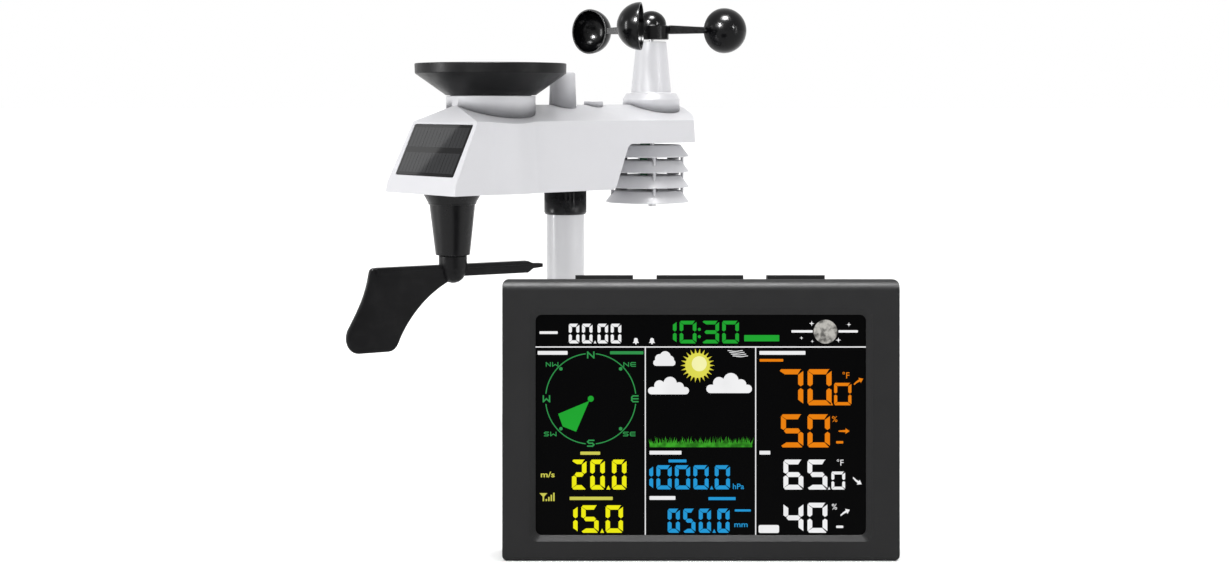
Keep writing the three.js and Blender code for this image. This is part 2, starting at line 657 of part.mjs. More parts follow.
function consoleBack() {
  const { height, split, depth, wall, corner } = CASE;
  const low = split + GAP;
  const outline = acrossX([[low, 0], [low, height], [depth - 3, height - 0.6],
    [depth, height - 3.6], [depth, 0]], -HALF_CASE, HALF_CASE);
  const form = outline.intersect(roundedSlab(HALF_CASE, 0, height, corner, low - 1, depth + 1));
  const cavity = block([-HALF_CASE + wall, low - 1, 5], [HALF_CASE - wall, depth - 2, height - 3.2]);
  const { x, z, length } = CELL_AAA;
  const bayHalf = [length / 2 + 2.2, 2 * CELL_AAA.r + 2];
  const tray = cut(
    block([x - bayHalf[0] - 1.6, 10.4, z - bayHalf[1] - 1.6],
      [x + bayHalf[0] + 1.6, depth - 1, z + bayHalf[1] + 1.6]),
    block([x - bayHalf[0], 11.4, z - bayHalf[1]], [x + bayHalf[0], depth + 1, z + bayHalf[1]]),
  );
  const s = STAND;
  const pocketHalf = s.width / 2 + 0.5;
  const housing = block([-pocketHalf - 2.6, s.pocket - 2, 5],
    [pocketHalf + 2.6, depth - 1, s.pocketTop + 2]);
  return cut(
    union(cut(form, cavity), tray, housing),
    block([x - bayHalf[0], 11.4, z - bayHalf[1]], [x + bayHalf[0], depth + 1, z + bayHalf[1]]),
    block([-pocketHalf, s.pocket, 7.5], [pocketHalf, depth + 1, s.pocketTop]),
    bar('x', 1.6, -pocketHalf - 1.7, pocketHalf + 1.7, [0, s.y, s.z], 12),
    bar('y', INLET.bore + 1, depth - 3, depth + 1, [INLET.x, 0, INLET.z], 20),
    underTable,
  );
}

const lcdWindow = () => roundedSlab(WINDOW.width / 2 + 2.5, WINDOW.z - WINDOW.height / 2 - 2.5,
  WINDOW.z + WINDOW.height / 2 + 2.5, 2, WINDOW.face + GAP, WINDOW.face + 1.8);
const lcdPanel = () => block([-80, 4.6, 13], [80, 7.4, 117]);
const consoleBoard = () => block([-78, 8, 16], [78, 9.6, 116]);
const aaaCell = (side) => bar('x', CELL_AAA.r, CELL_AAA.x - CELL_AAA.length / 2,
  CELL_AAA.x + CELL_AAA.length / 2, [0, CELL_AAA.y, CELL_AAA.z + side * (CELL_AAA.r + 0.5)], 16);

function dcInlet() {
  const [x, z] = [INLET.x, INLET.z];
  const back = CASE.depth - 2 - GAP;
  return cut(
    block([x - 5, 10.6, z - 5.5], [x + 5, back, z + 5.5]),
    bar('y', INLET.bore, back - 9, back + 1, [x, 0, z], 20),
  );
}

function key({ x, width }) {
  const [y0, y1] = [KEY.y - KEY.depth / 2, KEY.y + KEY.depth / 2];
  const under = CASE.height - CASE.wall - GAP - 0.1;
  return union(
    block([x - width / 2, y0, under - 1.8], [x + width / 2, y1, KEY.z]),
    block([x - width / 2 - KEY.lip, y0 - 1, under - 1.8], [x + width / 2 + KEY.lip, y1 + 1, under]),
  );
}

function consoleCover() {
  const { x, z, length } = CELL_AAA;
  const half = [length / 2 + 2.2 - GAP, 2 * CELL_AAA.r + 2 - GAP];
  const plate = block([x - half[0], CASE.depth - 2, z - half[1]], [x + half[0], CASE.depth, z + half[1]]);
  const thumb = block([x - 7, CASE.depth - 0.8, z + 6], [x + 7, CASE.depth + 1, z + 7.2]);
  return cut(plate, thumb, shifted(thumb, 0, 0, -2.4), shifted(thumb, 0, 0, -4.8));
}

/** The fold-out foot about its own pivot, lying level towards +Y. */
function consoleStand() {
  const { width, length, thick } = STAND;
  const half = width / 2;
  const r = thick / 2;
  return union(
    block([-half, 0, -r], [half, length, r]),
    bar('x', 1.7, -half, half, [0, 0, 0], 12),
    bar('x', 1.25, -half - 1.6, half + 1.6, [0, 0, 0], 12),
    bar('x', r, -half, half, [0, length, 0], 12),
  );
}

// ---- Assembly -----------------------------------------------------------------------------

const station = new THREE.Group();
station.add(
  piece('mast_foot', mastFoot(), BLACK),
  piece('mast_pole', mastPole(), POLE),
);

const array = new THREE.Group();
array.rotation.z = ARRAY_YAW;
station.add(array);
array.add(
  piece('upper_housing', upperHousing(), WHITE),
  piece('lower_housing', lowerHousing(), WHITE),
  piece('solar_panel', solarSlab(0, -SOLAR.thick + GAP, -0.1), SILICON),
  piece('rain_barrel', rainBarrel(), WHITE),
  piece('rain_funnel', rainFunnel(), BLACK),
  piece('funnel_screen', funnelScreen(), BLACK),
  piece('antenna_cover', antennaCover(), WHITE),
  piece('antenna_rod', rod(1.2, 197.9, POST.z - 6, { x: POST.u, sides: 12 }), STEEL),
  piece('level_ring', levelRing(), WHITE),
  piece('level_vial', levelVial(), LIQUID),
  piece('anemometer_tower', anemometerTower(), WHITE),
  piece('rotor_bearing', bearing(TOWER.u, 256), STEEL),
  piece('rotor_shaft', shaft(TOWER.u, 222, 276), STEEL),
  piece('rotor_magnet', magnet(TOWER.u, 224), MAGNET),
  piece('rotor_hub', rotorHub(), GLOSS),
  piece('vane_cone', vaneCone(), GLOSS),
  piece('vane_bearing', bearing(VANE.u, 124), STEEL),
  piece('vane_shaft', shaft(VANE.u, 108, 160), STEEL),
  piece('vane_magnet', magnet(VANE.u, 156), MAGNET),
  piece('wind_vane', windVane(), BLACK),
  piece('mast_socket', mastSocket(), BLACK),
  piece('socket_screw', socketScrew(), STEEL),
  piece('climate_sensor', climateSensor(), BOARD),
  piece('main_board', mainBoard(), BOARD),
  piece('battery_box', batteryBox(), BLACK),
  piece('battery_door', batteryDoor(), WHITE),
  piece('reset_button', resetButton(), SHADE),
  piece('bucket_cradle', bucketCradle(), SHADE),
  piece('rain_reed_switch', bar('x', 1.4, RAIN.u - 7, RAIN.u + 7, [0, 16, 193.6], 12), STEEL),
);
for (let i = 0; i < CUP.count; i += 1) {
  array.add(piece(`wind_cup_${i + 1}`, windCup(i), GLOSS));
}
for (let i = 0; i < SHIELD.count; i += 1) {
  array.add(piece(`louver_${i + 1}`, louver(i), SHADE));
}
screwLugs.forEach((angle, i) => {
  array.add(piece(`shield_screw_${i + 1}`, shieldScrew(angle), STEEL));
});
[-1, 1].forEach((side, i) => {
  array.add(piece(`aa_battery_${i + 1}`, aaCell(side), CELL));
});

const bucket = new THREE.Group();
bucket.position.set(RAIN.u, 0, BUCKET.pivot);
bucket.rotation.y = BUCKET.tilt;
array.add(bucket);
bucket.add(
  piece('tipping_bucket', tippingBucket(), BLACK),
  piece('bucket_axle', bar('y', SHAFT_R, -15, 15, [0, 0, 0]), STEEL),
  piece('bucket_magnet', block([-2, BUCKET.width / 2 + GAP, 3], [2, 11.2, 7]), MAGNET),
);

const console_ = new THREE.Group();
console_.position.set(CASE_AT.x, CASE_AT.y, 0);
console_.rotation.x = -LEAN;
station.add(console_);
console_.add(
  piece('console_front', consoleFront(), CHARCOAL),
  piece('console_back', consoleBack(), CHARCOAL),
  piece('lcd_window', lcdWindow(), GLASS),
  piece('lcd_panel', lcdPanel(), SHADE),
  piece('console_board', consoleBoard(), BOARD),
  piece('dc_inlet', dcInlet(), BLACK),
  piece('console_battery_cover', consoleCover(), CHARCOAL),
);
KEYS.forEach((spec) => {
  console_.add(piece(spec.name, key(spec), CHARCOAL));
});
[-1, 1].forEach((side, i) => {
  console_.add(piece(`aaa_battery_${i + 1}`, aaaCell(side), CELL));
});

// The foot opens until its tip meets the table.
const pivotHeight = STAND.z * Math.cos(LEAN) - STAND.y * Math.sin(LEAN);
const droop = Math.asin((pivotHeight - STAND.thick / 2) / STAND.length);
const stand = new THREE.Group();
stand.position.set(0, STAND.y, STAND.z);
stand.rotation.x = LEAN - droop;
console_.add(stand);
stand.add(piece('console_stand', consoleStand(), CHARCOAL));

export default station;
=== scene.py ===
import json
import math
import random

import bmesh
import bpy
from mathutils import Matrix, Vector


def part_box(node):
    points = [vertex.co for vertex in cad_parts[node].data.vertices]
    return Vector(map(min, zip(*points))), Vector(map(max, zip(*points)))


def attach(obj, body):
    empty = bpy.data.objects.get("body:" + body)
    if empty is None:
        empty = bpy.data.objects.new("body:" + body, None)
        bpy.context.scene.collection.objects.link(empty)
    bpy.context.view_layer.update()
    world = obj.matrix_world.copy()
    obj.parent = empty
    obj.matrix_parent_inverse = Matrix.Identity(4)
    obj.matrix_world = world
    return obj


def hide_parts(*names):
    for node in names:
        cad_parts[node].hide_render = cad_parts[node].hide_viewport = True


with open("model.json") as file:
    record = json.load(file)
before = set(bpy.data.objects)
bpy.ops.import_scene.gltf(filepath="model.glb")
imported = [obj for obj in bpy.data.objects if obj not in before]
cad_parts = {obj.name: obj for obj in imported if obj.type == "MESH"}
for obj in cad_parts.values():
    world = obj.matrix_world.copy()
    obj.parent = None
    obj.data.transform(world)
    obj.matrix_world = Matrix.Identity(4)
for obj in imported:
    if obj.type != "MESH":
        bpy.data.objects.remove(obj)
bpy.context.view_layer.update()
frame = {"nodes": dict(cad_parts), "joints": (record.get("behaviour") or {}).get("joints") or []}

# ---- Frame ------------------------------------------------------------------

MM = 0.001
JOINTS = {joint["name"]: joint for joint in frame["joints"]}

tip_axis = JOINTS["bucket_tip"]["axis"]
YAW = math.atan2(-tip_axis[0], tip_axis[1])
press_axis = JOINTS["left_key_press"]["axis"]
LEAN = math.atan2(-press_axis[1], -press_axis[2])

WORLD = Matrix.Scale(MM, 4)
ARRAY = WORLD @ Matrix.Rotation(YAW, 4, "Z")
case_low, case_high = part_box("console_front")
CASE_AT = Vector(((case_low.x + case_high.x) / 2, case_low.y, 0)) / MM
CONSOLE = WORLD @ Matrix.Translation(CASE_AT) @ Matrix.Rotation(-LEAN, 4, "X")


def place_in_array(joint):
    """A joint's position in the array's own millimetres."""
    return ARRAY.inverted() @ Vector(JOINTS[joint]["pos_m"])


def top_of(node):
    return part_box(node)[1].z / MM


def foot_of(node):
    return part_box(node)[0].z / MM


def width_of(node):
    low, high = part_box(node)
    return (high.x - low.x) / MM


# ---- Materials --------------------------------------------------------------

def node_tree(name):
    material = bpy.data.materials.new(name)
    material.use_nodes = True
    tree = material.node_tree
    shader = tree.nodes["Principled BSDF"]
    return material, tree, shader


def add_node(tree, kind, **values):
    node = tree.nodes.new(kind)
    for key, value in values.items():
        if hasattr(node, key):
            setattr(node, key, value)
        else:
            node.inputs[key].default_value = value
    return node


def noise(tree, coordinates, scale, detail=3.0, roughness=0.5):
    node = add_node(tree, "ShaderNodeTexNoise", Scale=scale, Detail=detail, Roughness=roughness)
    tree.links.new(coordinates, node.inputs["Vector"])
    return node.outputs["Fac"]


def ramp(tree, source, low, high, first, second):
    node = add_node(tree, "ShaderNodeMapRange")
    node.inputs["From Min"].default_value = low
    node.inputs["From Max"].default_value = high
    node.inputs["To Min"].default_value = first
    node.inputs["To Max"].default_value = second
    tree.links.new(source, node.inputs["Value"])
    return node.outputs["Result"]


def plastic(name, colour, roughness, mottle=0.04, grain=1800, bump=0.05, spread=0.06, coat=0.0,
            dust=0.0, wave=0.0, shine=0.4):
    """Moulded plastic: fine surface grain, slow mottling, uneven polish and, if asked, dust."""
    material, tree, shader = node_tree(name)
    at = add_node(tree, "ShaderNodeTexCoord").outputs["Object"]
    slow = noise(tree, at, 28, 4)
    fine = noise(tree, at, grain, 2)
    smear = noise(tree, at, 110, 5, 0.65)

    tint = add_node(tree, "ShaderNodeMix", data_type="RGBA")
    tint.inputs["A"].default_value = (*[c * (1 - mottle) for c in colour], 1)
    tint.inputs["B"].default_value = (*[min(1, c * (1 + mottle)) for c in colour], 1)
    tree.links.new(ramp(tree, slow, 0.35, 0.65, 0, 1), tint.inputs["Factor"])
    colour_out = tint.outputs["Result"]
    if dust:
        veil = add_node(tree, "ShaderNodeMix", data_type="RGBA")
        veil.inputs["B"].default_value = (0.45, 0.44, 0.42, 1)
        tree.links.new(colour_out, veil.inputs["A"])
        tree.links.new(ramp(tree, smear, 0.5, 0.75, 0, dust), veil.inputs["Factor"])
        colour_out = veil.outputs["Result"]
    tree.links.new(colour_out, shader.inputs["Base Color"])
    tree.links.new(ramp(tree, smear, 0.3, 0.7, roughness - spread, roughness + spread),
                   shader.inputs["Roughness"])

    relief = add_node(tree, "ShaderNodeBump", Strength=bump, Distance=0.0002)
    tree.links.new(fine, relief.inputs["Height"])
    normal = relief.outputs["Normal"]
    if wave:
        sink = add_node(tree, "ShaderNodeBump", Strength=wave, Distance=0.002)
        tree.links.new(slow, sink.inputs["Height"])
        tree.links.new(normal, sink.inputs["Normal"])
        normal = sink.outputs["Normal"]
    tree.links.new(normal, shader.inputs["Normal"])
    shader.inputs["IOR"].default_value = 1.49
    shader.inputs["Specular IOR Level"].default_value = shine
    shader.inputs["Coat Weight"].default_value = coat
    shader.inputs["Coat Roughness"].default_value = 0.06
    return material


def metal(name, colour, roughness):
    """Machined or drawn metal, with fine marks along the drawing direction."""
    material, tree, shader = node_tree(name)
    at = add_node(tree, "ShaderNodeTexCoord").outputs["Object"]
    squeeze = add_node(tree, "ShaderNodeMapping")
    squeeze.inputs["Scale"].default_value = (1, 1, 40)
    tree.links.new(at, squeeze.inputs["Vector"])
    marks = noise(tree, squeeze.outputs["Vector"], 300, 4)
    tree.links.new(ramp(tree, marks, 0.3, 0.7, roughness - 0.08, roughness + 0.1),
                   shader.inputs["Roughness"])
    tint = add_node(tree, "ShaderNodeMix", data_type="RGBA")
    tint.inputs["A"].default_value = (*[c * 0.88 for c in colour], 1)
    tint.inputs["B"].default_value = (*colour, 1)
    tree.links.new(marks, tint.inputs["Factor"])
    tree.links.new(tint.outputs["Result"], shader.inputs["Base Color"])
    shader.inputs["Metallic"].default_value = 1.0
    relief = add_node(tree, "ShaderNodeBump", Strength=0.06, Distance=0.0001)
    tree.links.new(marks, relief.inputs["Height"])
    tree.links.new(relief.outputs["Normal"], shader.inputs["Normal"])
    return material


def lit(name, colour, variation=0.06, grain=60):
    """A lit display element, very slightly uneven across the panel."""
    material, tree, shader = node_tree(name)
    at = add_node(tree, "ShaderNodeTexCoord").outputs["Object"]
    slow = noise(tree, at, grain, 4)
    tint = add_node(tree, "ShaderNodeMix", data_type="RGBA")
    tint.inputs["A"].default_value = (*[c * (1 - variation) for c in colour], 1)
    tint.inputs["B"].default_value = (*colour, 1)
    tree.links.new(ramp(tree, slow, 0.38, 0.62, 0, 1), tint.inputs["Factor"])
    tree.links.new(tint.outputs["Result"], shader.inputs["Emission Color"])
    shader.inputs["Base Color"].default_value = (0.001, 0.001, 0.001, 1)
    shader.inputs["Emission Strength"].default_value = 1.0
    shader.inputs["Specular IOR Level"].default_value = 0.02
    shader.inputs["Roughness"].default_value = 0.35
    return material


def linear(red, green, blue):
    """An sRGB colour of 0 to 255 as linear light."""
    def one(value):
        value /= 255
        return value / 12.92 if value <= 0.04045 else ((value + 0.055) / 1.055) ** 2.4
    return tuple(one(value) for value in (red, green, blue))


M = {
    "white": plastic("white_plastic", (0.56, 0.56, 0.58), 0.36, 0.012, 1500, 0.05, 0.05, wave=0.02,
                     shine=0.22),
    "shade": plastic("shade_plastic", (0.54, 0.54, 0.56), 0.42, 0.015, 1500, 0.06, 0.05,
                     shine=0.25),
    "black": plastic("black_plastic", (0.004, 0.004, 0.0045), 0.36, 0.1, 2200, 0.12, 0.07,
                     dust=0.006, shine=0.12),
    "gloss": plastic("gloss_black", (0.0015, 0.0015, 0.002), 0.2, 0.1, 900, 0.004, 0.01, shine=0.14),
    "sheen": plastic("sheen_black", (0.0015, 0.0015, 0.002), 0.3, 0.1, 1500, 0.03, 0.05, shine=0.2),
    "charcoal": plastic("charcoal_plastic", (0.0115, 0.0115, 0.012), 0.42, 0.06, 3200, 0.1, 0.04,
                        shine=0.14),
    # The window bevel's charcoal is the case's own plastic made lighter: a painted highlight along the
    # bevel.
    "painted_highlight_charcoal": plastic("charcoal_painted_highlight", (0.022, 0.022, 0.0225), 0.34, 0.05, 3200, 0.1, 0.05, shine=0.03),
    "screen": plastic("screen_black", (0.001, 0.001, 0.0011), 0.12, 0.05, 300, 0.003, 0.03, shine=0.02),
    "silicon": plastic("silicon_cells", (0.003, 0.003, 0.0035), 0.03, 0.2, 700, 0.0, 0.005, shine=0.1),
    "cell": plastic("cell_strip", (0.02, 0.0205, 0.022), 0.03, 0.15, 500, 0.0, 0.005, shine=0.1),
    "steel": metal("machined_steel", (0.55, 0.55, 0.56), 0.3),
    "pole": plastic("pole_paint", (0.52, 0.52, 0.535), 0.38, 0.02, 1200, 0.08, 0.06, coat=0.15),
    "board": plastic("circuit_board", (0.014, 0.11, 0.045), 0.4, 0.2, 500, 0.2, 0.08),
    "wrap": plastic("cell_wrap", (0.05, 0.16, 0.38), 0.3, 0.15, 300, 0.05, 0.06, coat=0.4),
    "liquid": plastic("level_liquid", (0.42, 0.62, 0.06), 0.08, 0.1, 300, 0.01, 0.03, coat=1.0),
    "lit_white": lit("lcd_white", linear(242, 242, 243)),
    "lit_green": lit("lcd_green", linear(30, 166, 48)),
    "lit_compass": lit("lcd_compass", linear(48, 148, 76)),
    "lit_yellow": lit("lcd_yellow", linear(240, 236, 16)),
    "lit_print": lit("lcd_print", linear(206, 204, 84)),
    "lit_blue": lit("lcd_blue", linear(34, 152, 214)),
    "lit_orange": lit("lcd_orange", linear(238, 130, 8)),
    "lit_moon": lit("lcd_moon", linear(188, 186, 180), variation=0.75, grain=420),
    "lit_sun": lit("lcd_sun", linear(226, 222, 84)),
    "lit_glow": lit("lcd_glow", linear(248, 246, 178)),
    "lit_rays": lit("lcd_rays", linear(214, 206, 60)),
    "lit_grass": lit("lcd_grass", linear(60, 165, 40), variation=0.6, grain=300),
}


# ---- Mesh helpers (millimetres, in a local frame) -----------------------------

def rounded(profile, steps=4):
    """A polyline of (x, y) or (x, y, radius) points, with an arc at each radius."""
    points = []
    count = len(profile)
    for i, corner in enumerate(profile):
        here = Vector(corner[:2])
        radius = corner[2] if len(corner) > 2 else 0
        if not radius:
            points.append(here)
            continue
        to_last = Vector(profile[i - 1][:2]) - here
        to_next = Vector(profile[(i + 1) % count][:2]) - here
        half = to_last.angle(to_next) / 2
        reach = min(radius / math.tan(half), to_last.length * 0.49, to_next.length * 0.49)
        radius = reach * math.tan(half)
        to_last.normalize()
        to_next.normalize()
        centre = here + (to_last + to_next).normalized() * (radius / math.sin(half))
        start = here + to_last * reach - centre
        sweep = start.angle_signed(here + to_next * reach - centre)
        for k in range(steps + 1):
            turn = Matrix.Rotation(-sweep * k / steps, 2)
            points.append(centre + turn @ start)
    return points


def arc(radius, centre=(0, 0), start=0, end=360, steps=48):
    """Points along part of a circle, both ends included, with its angles in degrees."""
    angles = [math.radians(start + (end - start) * k / steps) for k in range(steps + 1)]
    return [(centre[0] + radius * math.cos(a), centre[1] + radius * math.sin(a)) for a in angles]


def turned(profile, centre=(0, 0), sides=96, steps=4):
    """A solid of revolution about an upright axis; the profile is closed, or ends on the axis."""
    bm = bmesh.new()
    rings = []
    for radius, z in rounded(profile, steps):
        if radius < 1e-6:
            rings.append([bm.verts.new((centre[0], centre[1], z))])
            continue
        ring = []
        for i in range(sides):
            angle = 2 * math.pi * i / sides
            ring.append(bm.verts.new(
                (centre[0] + radius * math.cos(angle), centre[1] + radius * math.sin(angle), z)))
        rings.append(ring)
    on_axis = len(rings[0]) == 1 and len(rings[-1]) == 1
    pairs = list(zip(rings, rings[1:])) + ([] if on_axis else [(rings[-1], rings[0])])
    for low, high in pairs:
        for i in range(sides):
            j = (i + 1) % sides
            if len(low) == 1 and len(high) == 1:
                continue
            if len(low) == 1:
                bm.faces.new((low[0], high[j], high[i]))
            elif len(high) == 1:
                bm.faces.new((low[i], low[j], high[0]))
            else:
                bm.faces.new((low[i], low[j], high[j], high[i]))
    bmesh.ops.recalc_face_normals(bm, faces=bm.faces)
    return bm


def lofted(rings):
    """Joins closed rings of equal length, with flat ends."""
    bm = bmesh.new()
    layers = [[bm.verts.new(point) for point in ring] for ring in rings]
    count = len(layers[0])
    for low, high in zip(layers, layers[1:]):
        for i in range(count):
            j = (i + 1) % count
            bm.faces.new((low[i], low[j], high[j], high[i]))
    bm.faces.new(layers[0])
    bm.faces.new(layers[-1])
    bmesh.ops.recalc_face_normals(bm, faces=bm.faces)
    return bm


def slab(outline, low, high, along="z", steps=5):
    """A flat outline given thickness along one axis."""
    order = {
        "x": lambda a, b, t: (t, a, b),
        "y": lambda a, b, t: (a, t, b),
        "z": lambda a, b, t: (a, b, t),
    }[along]
    points = rounded(outline, steps)
    return lofted([[order(a, b, t) for a, b in points] for t in (low, high)])


def rectangle(x0, y0, x1, y1, radius=0.0):
    """The outline of a rectangle, with its corner radius."""
    return [(x0, y0, radius), (x1, y0, radius), (x1, y1, radius), (x0, y1, radius)]


def block(low, high):
    return slab(rectangle(*low[:2], *high[:2]), low[2], high[2])


def rod(radius, low, high, centre=(0, 0), sides=48):
    return turned([(0, low), (radius, low), (radius, high), (0, high)], centre, sides)


def cross_rod(radius, low, high, along, at, sides=48):
    """A rod along x or y, through the other two coordinates given in at."""
    return slab(arc(radius, at, steps=sides)[:-1], low, high, along)


def moved(bm, matrix):
    bmesh.ops.transform(bm, matrix=matrix, verts=bm.verts)
    return bm


def combine(operation, bm, *others):
    """Boolean of bmeshes: DIFFERENCE, UNION or INTERSECT, one tool after another."""
    def temporary(source):
        mesh = bpy.data.meshes.new("tool")
        source.to_mesh(mesh)
        source.free()
        tool = bpy.data.objects.new("tool", mesh)
        bpy.context.scene.collection.objects.link(tool)
        return tool
    base = temporary(bm)
    tools = [temporary(other) for other in others]
    for tool in tools:
        step = base.modifiers.new("step", "BOOLEAN")
        step.operation = operation
        step.solver = "MANIFOLD"
        step.object = tool
    bpy.context.view_layer.update()
    graph = bpy.context.evaluated_depsgraph_get()
    result = bmesh.new()
    result.from_mesh(base.evaluated_get(graph).to_mesh())
    for spent in (base, *tools):
        mesh = spent.data
        bpy.data.objects.remove(spent)
        bpy.data.meshes.remove(mesh)
    bmesh.ops.dissolve_limit(result, angle_limit=math.radians(0.5), verts=result.verts,
                             edges=result.edges)
    return result


def cut(bm, *tools):
    return combine("DIFFERENCE", bm, *tools)


def join(bm, *others):
    return combine("UNION", bm, *others)


def piece(name, bm, frame_matrix, body, material, replaces=(), bevel=0.0, segments=3,
          angle=30, flat=False):
    """Makes the finished object: moves it to its place, softens its edges, and ties it to a body."""
    moved(bm, frame_matrix)
    mesh = bpy.data.meshes.new(name)
    bm.to_mesh(mesh)
    bm.free()
    mesh.materials.append(M[material])
    made = bpy.data.objects.new(name, mesh)
    bpy.context.scene.collection.objects.link(made)
    if not flat:
        mesh.shade_smooth()
        soften(made, bevel, segments, angle)
    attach(made, body)
    if replaces:
        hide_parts(*replaces)


def soften(made, bevel, segments=3, angle=30):
    if bevel:
        edge = made.modifiers.new("edges", "BEVEL")
        edge.width = bevel * MM
        edge.segments = segments
        edge.limit_method = "ANGLE"
        edge.angle_limit = math.radians(angle)
        edge.use_clamp_overlap = True
        edge.miter_outer = "MITER_ARC"
        edge.harden_normals = True
    weigh = made.modifiers.new("normals", "WEIGHTED_NORMAL")
    weigh.keep_sharp = True
    weigh.weight = 60


def carried(name, material, bevel=0.0):
    """A CAD node that is kept as it is, with its finish and softened edges."""
    node = frame["nodes"][name]
    node.data.materials.clear()
    node.data.materials.append(M[material])
    if bevel:
        flat = node.modifiers.new("planar", "DECIMATE")
        flat.decimate_type = "DISSOLVE"
        flat.angle_limit = math.radians(1)
        edge = node.modifiers.new("edges", "BEVEL")
        edge.width = bevel * MM
        edge.segments = 2
        edge.limit_method = "ANGLE"
        edge.angle_limit = math.radians(35)


# ---- Dimensions of the array, in millimetres -----------------------------------

WALL = 2.2
BASE_Z = foot_of("upper_housing")
RIDGE_Z = top_of("upper_housing")
BAND_Z = BASE_Z + 7
EAVE_Z = RIDGE_Z - 11
SHELF_Z = BASE_Z + 30
ROOF_SLOPE = 0.305
SIDE_HALF = 35
DRAFT = 0.07
FRONT_BASE, FRONT_BAND, FRONT_TOP, HIP_APEX = -119, -117.7, -99, -90
BULGE_U, BULGE_R = -70.5, 38.9
REAR_U, REAR_R = 59, 44
STEP_FOOT, STEP_HEAD = 11, 29
SOLAR_W, SOLAR_H, SOLAR_FROM, SOLAR_DEEP = 63, 35.5, 5.2, 1.5
RAIN_U = place_in_array("bucket_tip").x
TOWER_U = place_in_array("rotor_spin").x
VANE_U = place_in_array("vane_swivel").x
BARREL_R = width_of("rain_barrel") / 2
POST_U, LEVEL_U = -2, 25
SHIELD_U = 74.5


def plan(z, grow=0.0):
    """The housing's outline at height z."""
    spread = (EAVE_Z - z) * DRAFT + grow
    half = SIDE_HALF + spread
    bulge, rear = BULGE_R + spread, REAR_R + spread
    rise = (FRONT_TOP - FRONT_BAND) / (EAVE_Z - BAND_Z)
    band = (FRONT_BAND - FRONT_BASE) / (BAND_Z - BASE_Z)
    front = FRONT_BAND - band * (BAND_Z - z) if z < BAND_Z else FRONT_BAND + rise * (z - BAND_Z)
    side = [(front - grow, half)]
    soft = 0.5
    steps = 30
    reach = 23
    for i in range(steps + 1):
        offset = reach * (2 * i / steps - 1)
        proud = math.sqrt(bulge ** 2 - offset ** 2) - half
        blend = 0.5 * (proud + math.sqrt(proud ** 2 + soft ** 2))
        if i in (0, steps):
            blend = 0
        side.append((BULGE_U + offset, half + blend))
    corner = math.degrees(math.asin(half / rear))
    tail = arc(rear, (REAR_U, 0), corner, -corner, 40)
    return side + tail + [(x, -y) for x, y in reversed(side)]


def housing_form(grow=0.0, foot=BASE_Z, lift=0.0):
    """The gabled, hipped outer form of the housing."""
    body = lofted([[(x, y, z + lift) for x, y in plan(z, grow)]
                   for z in (foot, BAND_Z, RIDGE_Z + 6)])
    up = lift + grow / math.cos(math.atan(ROOF_SLOPE))
    span = 60
    eave = RIDGE_Z + up - span * ROOF_SLOPE
    gable = slab([(-span, foot - 10), (span, foot - 10), (span, eave), (0, RIDGE_Z + up),
                  (-span, eave)], -140, 140, "x")
    run, rise = HIP_APEX - FRONT_TOP, RIDGE_Z - EAVE_Z
    back = 3
    edge, level = FRONT_TOP - grow, EAVE_Z + lift
    hip = slab([(edge - back * run, level - back * rise), (edge + back * run, level + back * rise),
                (edge - back * run, level + back * rise)], -span, span, "y")
    return cut(combine("INTERSECT", body, gable), hip)


def underside(lift=0.0):
    """The underside in (u, z): flat, a rounded climb, then the rear shelf."""
    return [(-140, BASE_Z + lift), (STEP_FOOT + 1 - lift / 2, BASE_Z + lift, 5),
            (STEP_HEAD - 3.2 - lift / 2, SHELF_Z + lift, 6), (140, SHELF_Z + lift)]


def below_underside():
    return slab(underside() + [(140, 100), (-140, 100)], -60, 60, "y")


SOLAR_UP = Vector((FRONT_TOP - FRONT_BAND, 0, EAVE_Z - BAND_Z)).normalized()
SOLAR_ALONG = Vector((0, -1, 0))
SOLAR_OUT = SOLAR_ALONG.cross(SOLAR_UP)
SOLAR_FACE = Matrix.Translation((FRONT_BAND, 0, BAND_Z)) @ Matrix(
    (SOLAR_ALONG, SOLAR_UP, SOLAR_OUT)).transposed().to_4x4()


def solar_slab(inset, low, high, radius=1.2):
    half = SOLAR_W / 2 - inset
    y0, y1 = SOLAR_FROM + inset, SOLAR_FROM + SOLAR_H - inset
    return moved(slab(rectangle(-half, y0, half, y1, radius), low, high), SOLAR_FACE)


def on_roof(bm):
    """Trims a piece to stand on the roof."""
    return cut(bm, housing_form(lift=0.3))


# ---- Array: housing ----------------------------------------------------------------

def make_housing():
    shell = cut(housing_form(), housing_form(-WALL, BASE_Z - 1), below_underside(),
                solar_slab(-0.3, -SOLAR_DEEP, 4), solar_slab(3, -6, 1),
                rod(23, 190, 230, (RAIN_U, 0), 96), rod(5, 200, 230, (POST_U, 0)),
                rod(8, 200, 230, (TOWER_U, 0)))
    piece("housing_shell", shell, ARRAY, "array", "white", ["upper_housing"],
          bevel=0.7, segments=3, angle=24)


def make_solar_panel():
    """The coated panel: two rows of cells split by fine lines, with a broad bar between the rows."""
    panel = solar_slab(0, -SOLAR_DEEP + 0.3, -0.12)
    piece("solar_laminate", panel, ARRAY, "array", "silicon", ["solar_panel"],
          bevel=0.25)
    top = -0.12
    inset, bar, gap = 2.0, 3.4, 0.25
    low, high = SOLAR_FROM + inset, SOLAR_FROM + SOLAR_H - inset
    middle = (low + high) / 2
    columns = 16
    half = SOLAR_W / 2 - inset
    strips = bmesh.new()
    for i in range(columns):
        x0 = -half + 2 * half * i / columns
        x1 = x0 + 2 * half / columns
        wide = 0.3 if i % 4 else 0.6
        for z0, z1 in ((low, middle - bar / 2 - gap), (middle + bar / 2 + gap, high)):
            add(strips, block((x0 + wide, z0, top), (x1, z1, top + 0.04)))
    piece("solar_cells", moved(strips, SOLAR_FACE), ARRAY, "array", "cell", flat=True)


